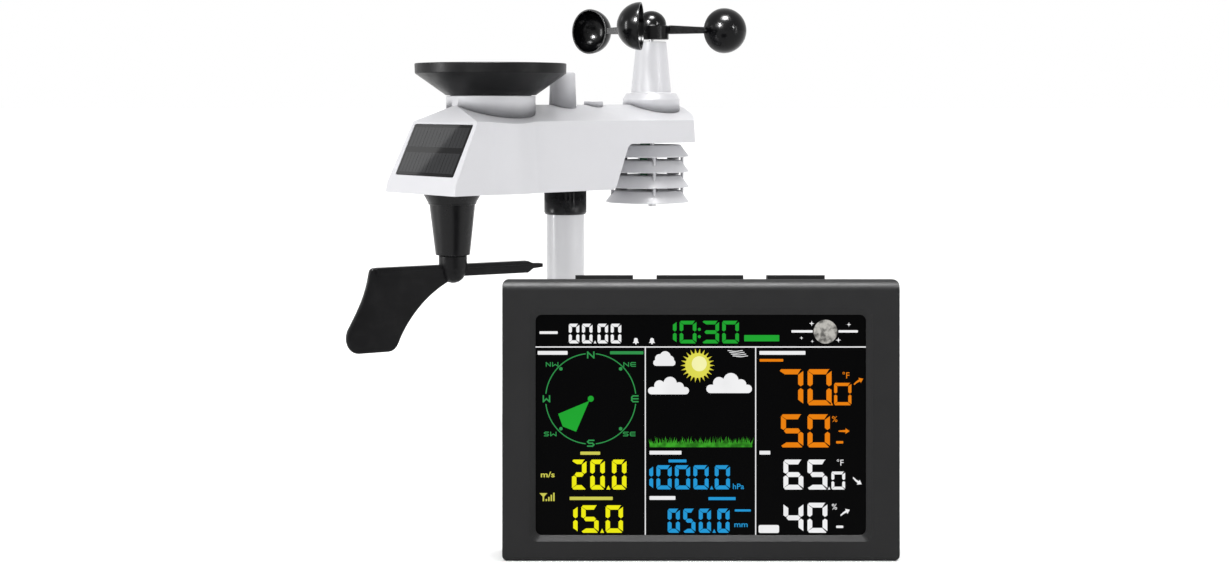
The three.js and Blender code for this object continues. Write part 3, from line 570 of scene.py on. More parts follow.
def add(bm, other):
    """Adds a separate closed body to a bmesh."""
    mesh = bpy.data.meshes.new("part")
    other.to_mesh(mesh)
    other.free()
    bm.from_mesh(mesh)
    bpy.data.meshes.remove(mesh)
    return bm


def make_rain_gauge():
    top = top_of("rain_barrel")
    barrel = turned([(BARREL_R - 2.4, 200), (BARREL_R, 200), (BARREL_R, top, 0.5),
                     (BARREL_R - 2.4, top, 0.5)], (RAIN_U, 0), 128)
    piece("rain_collar", on_roof(barrel), ARRAY, "array", "white",
          ["rain_barrel"])

    rim = width_of("rain_funnel") / 2
    rim_top, spout_foot = top_of("rain_funnel"), foot_of("rain_funnel")
    rim_foot, neck, neck_z, bowl = rim_top - 6.4, BARREL_R + 0.2, rim_top - 20.4, spout_foot + 5.5
    skirt = BARREL_R - 2.7
    slope = (rim_foot - neck_z) / (rim - 0.2 - neck)
    thick = 2.7

    def at(r):
        return bowl + (r - 4) * slope * 0.97

    funnel = turned([
        (4, spout_foot, 0.5), (5.8, spout_foot, 0.5), (6, at(6) - thick, 1),
        (skirt - 1.8, at(skirt - 1.8) - thick, 0.6), (skirt - 1.8, top - 4.8, 0.3),
        (skirt, top - 4.8, 0.3), (skirt, neck_z), (neck, neck_z, 0.5), (rim - 0.2, rim_foot, 0.8),
        (rim, rim_top, 0.7), (rim - 1.7, rim_top, 0.7), (rim - 2.2, rim_foot + 0.8, 2),
        (4, bowl, 1.5),
    ], (RAIN_U, 0), 160, 5)
    piece("collecting_funnel", funnel, ARRAY, "funnel", "black", ["rain_funnel"])


def make_roof_fittings():
    top = top_of("antenna_cover")
    foot_r, top_r = 9.3, 8.4
    cover = turned([(0, 205), (foot_r + 0.3, 205), (foot_r, 214), (top_r, top, 1.3), (0, top)],
                   (POST_U, 0), 96, 6)
    cover = cut(cover, rod(top_r - 2, 200, top - 2, (POST_U, 0)))
    piece("antenna_housing", on_roof(cover), ARRAY, "array", "white",
          ["antenna_cover"])

    level = top_of("level_ring")
    ring = turned([(5.2, 210), (6.5, 210), (6.5, level, 0.4), (5.2, level, 0.3)],
                  (LEVEL_U, 0), 64)
    piece("level_rim", on_roof(ring), ARRAY, "array", "white", ["level_ring"])
    vial = turned([(0, 214), (4.9, 214), (4.9, level - 0.5, 1), (0, level - 0.1)],
                  (LEVEL_U, 0), 64)
    piece("level_glass", on_roof(vial), ARRAY, "array", "liquid", ["level_vial"])


def make_tower():
    top, boss = top_of("anemometer_tower"), width_of("anemometer_tower") / 2
    shoulder_z = RIDGE_Z + 7.7
    tower = turned([
        (0, 200), (boss, 200), (boss - 0.4, RIDGE_Z + 3.5, 1), (boss - 2.7, shoulder_z, 1.2),
        (14.1, shoulder_z + 0.4, 0.8), (10.5, top, 0.5), (0, top),
    ], (TOWER_U, 0), 128)
    tower = cut(tower, rod(5, 190, top + 1, (TOWER_U, 0)))
    piece("tower", on_roof(tower), ARRAY, "array", "white",
          ["anemometer_tower"])


# ---- Array: rotor and vane -----------------------------------------------------------

def make_rotor():
    foot, top, radius = foot_of("rotor_hub"), top_of("rotor_hub"), 12.15
    shoulder = foot + 9.5
    dome = 10.5
    crown = [(dome * math.cos(a), shoulder + 0.7 + (top - shoulder - 0.7) * math.sin(a))
             for a in (math.radians(7.5 * k) for k in range(12))]
    hub = turned([(0, foot), (radius, foot, 0.6), (radius, shoulder, 0.5), (dome + 0.1, shoulder + 0.6)]
                 + crown + [(0, top)], (TOWER_U, 0), 96)
    hub = cut(hub, rod(1.9, foot - 1, shoulder + 5, (TOWER_U, 0), 32))
    piece("rotor_boss", hub, ARRAY, "rotor", "gloss", ["rotor_hub"])

    reach, level, cup_r, skin = 56, 269.5, 15.9, 1.3
    count = 3
    phase = math.radians(-19.5)
    for i in range(count):
        outer, inner = (arc(r, end=90, steps=24)[:-1] for r in (cup_r, cup_r - skin))
        rim = [(cup_r - 0.15, -0.35), (cup_r - skin + 0.15, -0.35)]
        profile = [(0, cup_r)] + outer[::-1] + rim + inner + [(0, cup_r - skin)]
        cup = moved(turned(profile, sides=72), Matrix.Rotation(math.radians(90), 4, "X"))
        start, end = 12.6 - reach, -cup_r + 1.1
        arm = slab([(start, -3.05, 0.7), (end, -2.15, 0.7), (end, 2.15, 0.7), (start, 3.05, 0.7)],
                   -3.2, -0.1, "y")
        rib = slab([(start, -0.8), (end, -0.6), (end, 0.6), (start, 0.8)], -4.2, -2.8, "y")
        whole = join(cup, arm, rib)
        spot = (Matrix.Translation((TOWER_U, 0, 0))
                @ Matrix.Rotation(phase + i * 2 * math.pi / count, 4, "Z")
                @ Matrix.Translation((reach, 0, level)))
        piece(f"cup_and_arm_{i + 1}", moved(whole, spot), ARRAY, "rotor", "gloss",
              [f"wind_cup_{i + 1}"], bevel=0.3, segments=2, angle=40)


def bezier(p0, p1, p2, p3, steps=10):
    """Points of a cubic curve, without its first."""
    points = []
    for k in range(1, steps + 1):
        t = k / steps
        s = 1 - t
        points.append(tuple(
            s ** 3 * a + 3 * s * s * t * b + 3 * s * t * t * c + t ** 3 * d
            for a, b, c, d in zip(p0, p1, p2, p3)))
    return points


def make_vane():
    """The tail and pointer: a bent blade, a grooved arm and a hub with a rounded foot."""
    hub_top, keel, top = top_of("wind_vane"), foot_of("wind_vane"), 115.7
    heading = math.radians(-12.5)
    tail_edge = (bezier((-57.3, top - 4), (-60, 96), (-67, 86), (-71.9, 76.5))
                 + bezier((-71.9, 76.5), (-74.4, 70), (-71, keel), (-64.4, keel)))
    front_edge = (bezier((-45.2, keel), (-40, keel), (-38.4, 66.5), (-36.6, 70.9), 6)
                  + bezier((-36.6, 70.9), (-29, 86), (-17, 98), (-3, 105), 14))
    blade_outline = ([(-2, top), (-54.5, top), (-56.6, top - 0.9), (-57.3, top - 4)] + tail_edge
                     + [(-45.2, keel)] + front_edge)
    blade = slab(blade_outline, -1.9, 1.9, "y")
    nose = slab([(0, 108, 0.8), (52.3, 108, 1), (56, 110.6), (63, 111.3, 0.4), (63, 113.7, 0.4),
                 (56, 114), (52.3, top, 1), (-53, top, 1.5), (-53, 111.2, 1.5), (-10, 107.8),
                 (-3, 108)], -2.5, 2.5, "y")
    hub_r, ball_r, ball_foot = 9.05, 8.3, foot_of("vane_shaft") - 4.4
    ball = arc(ball_r, (0, ball_foot + ball_r), -90, 0, 10)[1:-1]
    hub = turned([(0, ball_foot)] + ball + [(8.4, ball_foot + 9.4), (hub_r, ball_foot + 10.2),
                 (hub_r, hub_top, 0.4), (0, hub_top)], (0, 0), 72)
    grooves = [slab(rectangle(-50, 113.2, 52, 113.7), *sides, "y")
               for sides in ((-2.6, -2.2), (2.2, 2.6))]
    arm = cut(join(cut(nose, *grooves), hub), rod(1.9, 107, 130, sides=32))
    spot = Matrix.Translation((VANE_U, 0, 0)) @ Matrix.Rotation(heading, 4, "Z")
    piece("vane_arm", moved(arm, spot), ARRAY, "vane", "black", ["wind_vane"],
          bevel=0.5, segments=2, angle=50)
    piece("vane_blade", moved(blade, spot), ARRAY, "vane", "black", bevel=1.3,
          segments=3, angle=50)


def make_vane_cone():
    foot, top, flange = foot_of("vane_cone"), top_of("vane_cone"), width_of("vane_cone") / 2
    cone = turned([
        (5, foot, 0.3), (11, foot, 0.5), (14.6, 154.1), (15.3, 154.5, 0.3), (15.5, 155.6),
        (flange, top - 0.7, 0.4), (flange, top, 0.2), (5, top),
    ], (VANE_U, 0), 128)
    piece("vane_holder", cone, ARRAY, "array", "sheen", ["vane_cone"])


# ---- Array: shield, socket and mast --------------------------------------------------

def make_shield():
    pitch, height, head, hem, skin, count = 10.6, 8.4, 23.2, 29.6, 1.4, 4
    tops = top_of("louver_1")
    lugs = [math.radians(a) for a in (-121, -31, 59, 149)]
    screws = (lugs[0], lugs[2])

    def beside(angle, radius=17.5):
        return (SHIELD_U + radius * math.cos(angle), radius * math.sin(angle))

    for i in range(count):
        top = tops - i * pitch
        last = i == count - 1
        inner = 0 if last else 10
        shape = [(inner, top)] if last else [(inner, top, 0.4)]
        shape += [(head, top, 1.6), (hem, top - height, 0.35), (hem - 1.5, top - height, 0.3),
                  (head - 1.4, top - skin, 1.0)]
        shape += [(inner, top - skin)] if last else [(inner, top - skin, 0.4)]
        plate = turned(shape, (SHIELD_U, 0), 128)
        foot = top - height if last else top - pitch + 0.3
        bodies = [rod(3.3, foot, top - 0.5, beside(angle), 24) for angle in lugs]
        if not last:
            for angle in lugs:
                rib = block((18.5, -0.8, top - pitch + 0.3), (22.6, 0.8, top - 0.8))
                peg = slab([(24.0, top - 4.4), (24.0, top - pitch - 0.8), (25.9, top - pitch - 3.3),
                            (25.9, top - 6.5)], -0.9, 0.9, "y")
                turn = Matrix.Translation((SHIELD_U, 0, 0)) @ Matrix.Rotation(angle, 4, "Z")
                bodies += [moved(rib, turn), moved(peg, turn)]
        body = join(plate, *bodies)
        body = cut(body, *[rod(1.9, 100, 200, beside(angle), 24) for angle in screws])
        piece(f"shield_plate_{i + 1}", body, ARRAY, "array", "shade",
              [f"louver_{i + 1}"])


def make_mast():
    radius = width_of("mast_pole") / 2
    low, high = foot_of("mast_pole"), top_of("mast_pole")
    tube = turned([(radius - 1.5, low), (radius, low), (radius, high, 0.3), (radius - 1.5, high)],
                  sides=128)
    piece("mast_tube", tube, WORLD, "mast", "pole", ["mast_pole"])

    flange, top = width_of("mast_foot") / 2, top_of("mast_foot")
    foot = turned([(0, 0), (flange, 0, 0.4), (flange, 4, 1.2), (20, 4, 2), (17, 8, 3),
                   (17, top, 0.8), (0, top)], sides=128)
    screws = []
    for i in range(4):
        angle = (i + 0.5) * math.pi / 2
        spot = (31 * math.cos(angle), 31 * math.sin(angle))
        screws.append(rod(2.6, -1, 10, spot, 32))
        screws.append(turned([(0, 2.4), (2.6, 2.4), (5.2, 5), (0, 5)], spot, 32))
    foot = cut(foot, rod(radius + 0.3, 4, top + 1, sides=96), *screws)
    piece("mast_flange", foot, WORLD, "mast", "black", ["mast_foot"])

    level, socket_top = foot_of("mast_socket"), top_of("mast_socket")
    collar = turned([(0, level), (13.5, level, 0.4), (14.3, level + 1.4, 0.8), (14.3, socket_top),
                     (0, socket_top)], sides=128)
    boss_z = level + 8.5
    to_clamp = Matrix.Rotation(-YAW, 4, "Z")
    collar = join(collar, moved(cross_rod(4.2, 10, 19, "y", (0, boss_z)), to_clamp))
    notches = []
    for i in range(3):
        turn = Matrix.Rotation(math.radians(-128 + 11 * i), 4, "Z")
        notches.append(moved(block((13.5, -0.7, socket_top - 1.5), (16, 0.7, socket_top + 1)), turn))
    collar = cut(collar, rod(radius + 0.3, level - 2, socket_top - 2.4, sides=96),
                 moved(cross_rod(2.4, 8, 22, "y", (0, boss_z), 32), to_clamp), *notches)
    piece("mast_collar", collar, ARRAY, "array", "sheen", ["mast_socket"])


# ---- Console ----------------------------------------------------------------------------

CASE_W, CASE_H, CASE_SPLIT, CASE_DEPTH = width_of("console_front"), 135.6, 17, 25
HALF = CASE_W / 2
WIN_W, WIN_H, WIN_Z, WIN_BEVEL, FACE = 159, 106, 65.4, 2.9, 2.5
KEY_Y, KEY_DEEP, KEY_TOP = 12, 7, 137.5
STAND_Z, STAND_Y, POCKET_Y, POCKET_TOP = 12, 23.1, 21.2, 60
BAY_X, BAY_Z, BAY_HALF, BAY_FLOOR = 58, 35, (24.45, 12.5), 11.4
VENT_X, VENT_Z, VENT_HALF, VENT_PITCH = 62, 92, 16, 5.5
CASE_SCREWS = [(x, z) for x in (-87, 87) for z in (12, 124)]
KEY_LIP = 1.5


def under_table():
    drop = math.tan(LEAN)
    return slab([(-20, -20 * drop - 30), (60, -20 * drop - 30), (60, 60 * drop), (-20, -20 * drop)],
                -HALF - 5, HALF + 5, "x")


def framed(half_w, z0, z1, radius, y0, y1):
    return slab(rectangle(-half_w, z0, half_w, z1, radius), y0, y1, "y", 8)


def make_console_front():
    depth, drop = 6, 5.8
    crest = [(depth * (1 - math.cos(a)), CASE_H - drop * (1 - math.sin(a)))
             for a in (math.radians(7.5 * k) for k in range(13))]
    side = slab([(1.4, 0, 1.2), (0, 1.9, 1.2)] + crest + [(CASE_SPLIT, CASE_H), (CASE_SPLIT, 0)],
                -HALF, HALF, "x")
    form = combine("INTERSECT", side, framed(HALF, 0, CASE_H, 3, -1, CASE_SPLIT + 1))
    cavity = block((-HALF + 2.2, FACE, 4.2), (HALF - 2.2, CASE_SPLIT + 1, CASE_H - 2.2))
    low, high = WIN_Z - WIN_H / 2, WIN_Z + WIN_H / 2
    reach = WIN_W / 2 + WIN_BEVEL
    outer = rounded(rectangle(-reach, low - WIN_BEVEL, reach, high + WIN_BEVEL, 4), 8)
    inner = rounded(rectangle(-WIN_W / 2, low, WIN_W / 2, high, 3), 8)
    opening = lofted([[(x, -0.2, z) for x, z in outer], [(x, 0.0, z) for x, z in outer],
                      [(x, FACE - 0.6, z) for x, z in inner], [(x, FACE + 0.2, z) for x, z in inner]])
    seat = slab([(x, z) for x, z in outer], -1, FACE + 1, "y")
    frame_ring = cut(slab([(x, z) for x, z in outer], 0.05, FACE, "y"), opening)
    slots = [block((x - w / 2 - 0.3, KEY_Y - KEY_DEEP / 2 - 0.3, CASE_H - 4),
                   (x + w / 2 + 0.3, KEY_Y + KEY_DEEP / 2 + 0.3, CASE_H + 1)) for x, w, _ in keys()]
    front = cut(form, cavity, seat, under_table(), *slots)
    piece("case_front", front, CONSOLE, "console", "charcoal",
          ["console_front"], bevel=0.45, segments=3, angle=28)
    # The bevel ring takes the lighter charcoal, a painted highlight; it is the same plastic as the
    # case.
    piece("window_frame", frame_ring, CONSOLE, "console", "painted_highlight_charcoal", bevel=0.2,
          segments=2, angle=28)


def keys():
    """Each key's centre, width and node name."""
    found = []
    for name in ("key_left", "key_middle", "key_right"):
        low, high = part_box(name)
        found.append((((low.x + high.x) / 2) / MM - CASE_AT.x, width_of(name) - 2 * KEY_LIP, name))
    return found


def make_keys():
    under = CASE_H - 2.6
    for x, width, name in keys():
        front, rear = KEY_Y - KEY_DEEP / 2, KEY_Y + KEY_DEEP / 2
        cap = block((x - width / 2, front, under - 1.8), (x + width / 2, rear, KEY_TOP))
        lip = block((x - width / 2 - KEY_LIP, front - 1, under - 1.8),
                    (x + width / 2 + KEY_LIP, rear + 1, under))
        dips = []
        for step in range(3):
            at = x + (step - 1) * 2.2
            dips.append(block((at - 0.4, KEY_Y - 2, KEY_TOP - 0.25),
                              (at + 0.4, KEY_Y + 2, KEY_TOP + 1)))
        piece(name.replace("key", "button"), cut(join(cap, lip), *dips), CONSOLE,
              name.replace("key_", "") + "_key", "charcoal", [name], bevel=0.35)


def make_console_back():
    low = CASE_SPLIT + 0.3
    outline = slab([(low, 0), (low, CASE_H), (CASE_DEPTH - 3, CASE_H - 0.6, 4),
                    (CASE_DEPTH, CASE_H - 3.6, 2), (CASE_DEPTH, 0)], -HALF, HALF, "x", 8)
    form = combine("INTERSECT", outline, framed(HALF, 0, CASE_H, 3, low - 1, CASE_DEPTH + 1))
    cavity = block((-HALF + 2.2, low - 1, 5), (HALF - 2.2, CASE_DEPTH - 2, CASE_H - 3.2))
    bx, bz = BAY_HALF
    bay, bay_again = (block((BAY_X - bx, BAY_FLOOR, BAY_Z - bz),
                            (BAY_X + bx, CASE_DEPTH + 1, BAY_Z + bz)) for _ in range(2))
    tray = cut(block((BAY_X - bx - 1.6, BAY_FLOOR - 1, BAY_Z - bz - 1.6),
                     (BAY_X + bx + 1.6, CASE_DEPTH - 1, BAY_Z + bz + 1.6)), bay)
    pocket = 28.5
    housing = block((-pocket - 2.6, POCKET_Y - 2, 5), (pocket + 2.6, CASE_DEPTH - 1, POCKET_TOP + 2))
    vents = []
    for row in range(5):
        for side in (-1, 1):
            x, z = side * VENT_X, VENT_Z + row * VENT_PITCH
            vents.append(slab(rectangle(x - VENT_HALF, z, x + VENT_HALF, z + 2, 0.9),
                              CASE_DEPTH - 3, CASE_DEPTH + 1, "y"))
    wells = [cross_rod(3, CASE_DEPTH - 1.2, CASE_DEPTH + 1, "y", spot, 32) for spot in CASE_SCREWS]
    back = cut(join(cut(form, cavity), tray, housing), bay_again,
               block((-pocket, POCKET_Y, 7.5), (pocket, CASE_DEPTH + 1, POCKET_TOP)),
               cross_rod(1.6, -pocket - 1.7, pocket + 1.7, "x", (STAND_Y, STAND_Z), 32),
               cross_rod(4.2, CASE_DEPTH - 3, CASE_DEPTH + 1, "y", (-60, 30)),
               *vents, *wells, under_table())
    piece("case_back", back, CONSOLE, "console", "charcoal",
          ["console_back"], bevel=0.3, segments=2, angle=32)
    for i, (x, z) in enumerate(CASE_SCREWS):
        head = cross_rod(2.6, CASE_DEPTH - 1.2, CASE_DEPTH - 0.4, "y", (x, z), 32)
        slots = [block((x - 1.6, CASE_DEPTH - 0.9, z - 0.3), (x + 1.6, CASE_DEPTH, z + 0.3)),
                 block((x - 0.3, CASE_DEPTH - 0.9, z - 1.6), (x + 0.3, CASE_DEPTH, z + 1.6))]
        piece(f"case_screw_{i + 1}", cut(head, *slots), CONSOLE, "console", "steel",
              bevel=0.12)


def make_window():
    low, high = WIN_Z - WIN_H / 2, WIN_Z + WIN_H / 2
    glass = framed(WIN_W / 2 + 2.5, low - 2.5, high + 2.5, 2, FACE + 0.3, FACE + 1.8)
    piece("display_window", glass, CONSOLE, "console", "screen", ["lcd_window"],
          bevel=0.2, segments=2)


def make_stand():
    """The fold-out foot: a ribbed plate on a pivot, with a bead at its tip."""
    node = "console_stand"
    pivot = Vector(JOINTS["stand_fold"]["pos_m"]) / MM
    length, half = 44, 28
    droop = math.asin((pivot.z - 1.2) / length)
    spot = Matrix.Translation(pivot) @ Matrix.Rotation(-droop, 4, "X")
    plate = block((-half, 0, -1.2), (half, length, 1.2))
    ribs = [block((x - 0.8, 3, 1.0), (x + 0.8, length - 5, 1.7)) for x in (-18, -6, 6, 18)]
    body = join(plate, cross_rod(1.7, -half, half, "x", (0, 0)),
                cross_rod(1.25, -half - 1.6, half + 1.6, "x", (0, 0)),
                cross_rod(1.2, -half, half, "x", (length, 0)), *ribs)
    piece("fold_out_foot", moved(body, spot), WORLD, "stand", "charcoal",
          [node], bevel=0.25, segments=2, angle=40)


# ---- Display ----------------------------------------------------------------------------

LCD_Y = FACE + 0.3
LCD_FOOT = WIN_Z - WIN_H / 2
INK = 0.06
SEGMENTS = {
    "0": "abcdef", "1": "bc", "2": "abged", "3": "abgcd", "4": "fgbc", "5": "afgcd",
    "6": "afgedc", "7": "abc", "8": "abcdefg", "9": "abcdfg",
}
LAYOUT_W, LAYOUT_H = 158, 105
# Strokes between the keys of a 3 by 3 pad, 7 at the top left; a quote softens that corner.
STROKES = {"E": "97'1'3,46", "N": "1739", "S": "97'4'6'3'1", "W": "71539"}
layers = {}


def ink(colour):
    return layers.setdefault(colour, bmesh.new())


def shape(colour, outline, steps=4, over=0):
    """A printed area of the display: an outline in (x, z), z above the window's lower edge."""
    face = LCD_Y - INK * (1 + over / 2)
    across, up = WIN_W / LAYOUT_W, WIN_H / LAYOUT_H
    raised = slab([(p[0] * across, p[1] * up + LCD_FOOT, *p[2:]) for p in outline], face, LCD_Y, "y",
                  steps)
    add(ink(colour), raised)


def disc(colour, x, z, radius, sides=40, over=0):
    shape(colour, arc(radius, (x, z), steps=sides)[:-1], over=over)


def digit(colour, character, x, z, width, height, weight):
    """One seven-segment character with its lower left corner at (x, z)."""
    gap = weight * 0.09
    mid = z + height / 2
    top, right = z + height, x + width
    w, h = weight, weight / 2
    c = weight * 0.35
    paths = {
        "a": [(x + c, top), (right - c, top), (right - w - gap + w * 0.9 - c, top - w * 0.1),
              (right - w - gap, top - w), (x + w + gap, top - w), (x + gap, top - c)],
        "d": [(x + gap, z + c), (x + w + gap, z + w), (right - w - gap, z + w),
              (right - gap - c * 0.3, z + w * 0.1), (right - c, z), (x + c, z)],
        "g": [(x + w * 0.6, mid), (x + w, mid + h), (right - w, mid + h), (right - w * 0.6, mid),
              (right - w, mid - h), (x + w, mid - h)],
        "f": [(x, top - c), (x + w, top - w - gap), (x + w, mid + h + gap),
              (x + w * 0.5, mid + gap * 2), (x, mid + h)],
        "e": [(x, mid - h), (x + w * 0.5, mid - gap * 2), (x + w, mid - h - gap), (x + w, z + w + gap),
              (x, z + c)],
        "b": [(right, top - c), (right, mid + h), (right - w * 0.5, mid + gap * 2),
              (right - w, mid + h + gap), (right - w, top - w - gap)],
        "c": [(right, mid - h), (right, z + c), (right - w, z + w + gap), (right - w, mid - h - gap),
              (right - w * 0.5, mid - gap * 2)],
    }
    for key in SEGMENTS[character]:
        shape(colour, paths[key])


def number(colour, text, x, z, width, height, weight):
    """A seven-segment number whose ink fills the given width; . and : take no digit space."""
    count = sum(character not in ".:" for character in text)
    space, extra = weight * 0.85, weight * 0.75
    room = width - space * (count - 1) - extra * sum(text.count(mark) for mark in ".:")
    each = room / count
    at = x
    if text[0] == "1":
        each = (room - weight) / (count - 1)
        at = x - (each - weight)
    for character in text:
        if character == ".":
            at += extra
            middle = at - (space + extra) / 2
            shape(colour, [(middle - weight * 0.45, z), (middle + weight * 0.45, z),
                           (middle, z + weight * 0.95)])
        elif character == ":":
            at += extra
            middle = at - (space + extra) / 2
            for level in (0.3, 0.62):
                disc(colour, middle, z + height * level, weight * 0.42, 16)
        else:
            digit(colour, character, at, z, each, height, weight)
            at += each + space


def compass_letters(colour, text, left, right, low, high):
    """Compass letters drawn in square strokes, filling a given area."""
    weight = (high - low) * 0.19
    gap = weight * 1.5
    share = {"W": 1.25}
    total = sum(share.get(character, 1.0) for character in text)
    unit = (right - left - gap * (len(text) - 1)) / total
    at = left
    for character in text:
        width = unit * share.get(character, 1.0)
        glyph(colour, STROKES[character], (at, at + width), (low, high), weight)
        at += width + gap


def caption(colour, left, right, low, high):
    """A plain bar where such a display prints a word."""
    middle, half = (low + high) / 2, (high - low) * 0.3
    shape(colour, rectangle(left, middle - half, right, middle + half, 0.3))


def glyph(colour, strokes, sides, levels, weight):
    """One letter: its strokes' centre lines keep half a stroke inside the area."""
    inset = weight / 2
    columns = (sides[0] + inset, (sides[0] + sides[1]) / 2, sides[1] - inset)
    rows = (levels[0] + inset, (levels[0] + levels[1]) / 2, levels[1] - inset)
    for stroke in strokes.split(","):
        points, soft = [], []
        for mark in stroke:
            if mark == "'":
                soft[-1] = True
            else:
                key = int(mark) - 1
                points.append(Vector((columns[key % 3], rows[key // 3])))
                soft.append(False)
        path = []
        for i, point in enumerate(points):
            if soft[i]:
                for other in (points[i - 1], points[i + 1]):
                    reach = min(weight, (other - point).length / 2)
                    path.append(point + (other - point).normalized() * reach)
            else:
                path.append(point)
        for first, second in zip(path, path[1:]):
            if (second - first).length > 0.01:
                reach = (second - first).normalized() * inset * 0.9
                a, b = first - reach, second + reach
                line(colour, a.x, a.y, b.x, b.y, weight)


def label(colour, text, x, z, height, wide=1.35, bold=0.018):
    """Printed lettering centred at (x, z), of a given capital height."""
    curve = bpy.data.curves.new("label", "FONT")
    curve.body = text
    curve.size = 1.0
    curve.offset = bold
    curve.align_x = "CENTER"
    curve.align_y = "CENTER"
    curve.resolution_u = 4
    curve.extrude = 0.02
    made = bpy.data.objects.new("label", curve)
    bpy.context.scene.collection.objects.link(made)
    bpy.context.view_layer.update()
    graph = bpy.context.evaluated_depsgraph_get()
    letters = bmesh.new()
    letters.from_mesh(made.evaluated_get(graph).to_mesh())
    bpy.data.objects.remove(made)
    bpy.data.curves.remove(curve)
    size = height / 0.7
    moved(letters, Matrix.Diagonal((size * wide, size, INK / 0.04, 1)))
    stand = Matrix(((1, 0, 0, x), (0, 0, -1, LCD_Y - INK / 2), (0, 1, 0, z + LCD_FOOT), (0, 0, 0, 1)))
    add(ink(colour), moved(letters, stand))


def line(colour, x0, z0, x1, z1, width):
    along = Vector((x1 - x0, z1 - z0)).normalized()
    side = Vector((-along.y, along.x)) * width / 2
    shape(colour, [(x0 + side.x, z0 + side.y), (x0 - side.x, z0 - side.y),
                   (x1 - side.x, z1 - side.y), (x1 + side.x, z1 + side.y)])


def star(colour, x, z, radius, points=4, waist=0.3):
    outline = []
    for k in range(points * 2):
        angle = math.pi * k / points
        reach = radius if k % 2 == 0 else radius * waist
        outline.append((x + reach * math.cos(angle), z + reach * math.sin(angle)))
    shape(colour, outline)


def cloud(x, z, width, height):
    """A rounded cloud standing at (x, z): three lobes over a round-ended base."""
    base = height * 0.42
    shape("lit_white", rectangle(x - width / 2, z, x + width / 2, z + base, base / 2), 8)
    for place, level, radius in ((-0.22, 0.50, 0.30), (0.04, 0.62, 0.38), (0.26, 0.42, 0.27)):
        disc("lit_white", x + place * width, z + level * height, radius * height)


def arrow(colour, x, z, angle, bend=0.0):
    """A small trend arrow: a tapering tail and a solid head."""
    turn = math.radians(angle)

    def spot(a, b):
        return (x + a * math.cos(turn) - b * math.sin(turn),
                z + a * math.sin(turn) + b * math.cos(turn))

    tail = [spot(-2.6, -0.35 - bend), spot(-0.8, -0.45 - bend * 0.2), spot(0.8, -0.55),
            spot(0.8, 0.55), spot(-0.8, 0.4 - bend * 0.2), spot(-2.6, 0.25 - bend)]
    shape(colour, tail)
    shape(colour, [spot(0.7, -1.35), spot(2.6, 0), spot(0.7, 1.35)])


def bell(x, z):
    """An alarm bell: a dome on a flared lip, with its clapper below."""
    shape("lit_white", [(x - 1.5, z + 0.5), (x + 1.5, z + 0.5), (x + 0.95, z + 1.3, 0.4),
                        (x + 0.85, z + 2.9, 0.8), (x - 0.85, z + 2.9, 0.8), (x - 0.95, z + 1.3, 0.4)])
    disc("lit_white", x, z + 0.25, 0.38, 16)


def header():
    caption("lit_white", -77.1, -68.4, 95.4, 97.5)
    number("lit_white", "00.00", -63.1, 91.3, 25.1, 9.4, 1.5)
    for x in (-31, -23.3):
        bell(x, 91)
    number("lit_green", "10:30", -13.3, 91.3, 31.6, 10.8, 1.75)
    caption("lit_green", 20.8, 37.6, 91.3, 96.3)
    caption("lit_white", 43.4, 53.6, 96.1, 98.0)
    caption("lit_white", 65.9, 75.2, 96.1, 98.0)
    disc("lit_moon", 59.7, 96.9, 5.7, 64)
    for x, z, size in ((53.1, 100.8, 1.3), (48.2, 93.9, 0.9), (53.4, 92.3, 0.8), (65.9, 92.9, 1.3),
                       (70.9, 100.3, 1.1)):
        star("lit_white", x, z, size)
    line("lit_white", -79, 89.6, 79, 89.6, 0.55)
    line("lit_white", -26.5, 0, -26.5, 89.3, 0.5)
    line("lit_white", 26.3, 0, 26.3, 89.3, 0.5)


def wind_column():
    x, z, radius = -52.6, 64.9, 21.6
    caption("lit_white", -78, -63.7, 85.3, 88.3)
    caption("lit_compass", -43.4, -27.4, 85.6, 88.1)
    gap, half_line = 6.5, 0.25
    for q in range(4):
        start, end = q * 90 + gap, (q + 1) * 90 - gap
        shape("lit_compass", arc(radius + half_line, (x, z), start, end, 24)
              + arc(radius - half_line, (x, z), end, start, 24))
        middle = math.radians((start + end) / 2)
        disc("lit_compass", x + 20.2 * math.cos(middle), z + 20.2 * math.sin(middle), 0.85, 20)
    for text, dx, dz in (("N", 0, 20.9), ("S", 0, -21.2), ("W", -21.2, 0), ("E", 21.1, 0)):
        compass_letters("lit_compass", text, x + dx - 1.8, x + dx + 1.8, z + dz - 1.7, z + dz + 1.7)
    for text, dx, dz in (("NW", -18.5, 16.4), ("NE", 18.6, 16.4), ("SW", -19.4, -16.8),
                         ("SE", 18.4, -16.8)):
        compass_letters("lit_compass", text, x + dx - 3, x + dx + 3, z + dz - 1.1, z + dz + 1.1)
    disc("lit_green", x, z, 1.45, 24)
    shape("lit_green", [(x - 0.7, z - 1), (x - 15.6, z - 7.2), (x - 13.4, z - 13.2), (x - 7, z - 15.7)])
    caption("lit_print", -57.6, -48.1, 37.7, 40.2)
    number("lit_yellow", "20.0", -61.6, 21.6, 26.1, 14.3, 2.15)
    label("lit_print", "m/s", -73.7, 28.9, 2.6, 1.3)
    shape("lit_print", [(-77.1, 19.9), (-73.4, 19.9), (-74.9, 18.2), (-74.9, 16.1), (-75.6, 16.1),
                        (-75.6, 18.2)])
    for i in range(4):
        left = -74.2 + i * 1.2
        shape("lit_print", rectangle(left, 16.1, left + 0.7, 17.1 + i))
    caption("lit_print", -62.7, -42.1, 16.1, 18.7)
    number("lit_yellow", "15.0", -61.0, 1, 23.8, 13.1, 2.1)


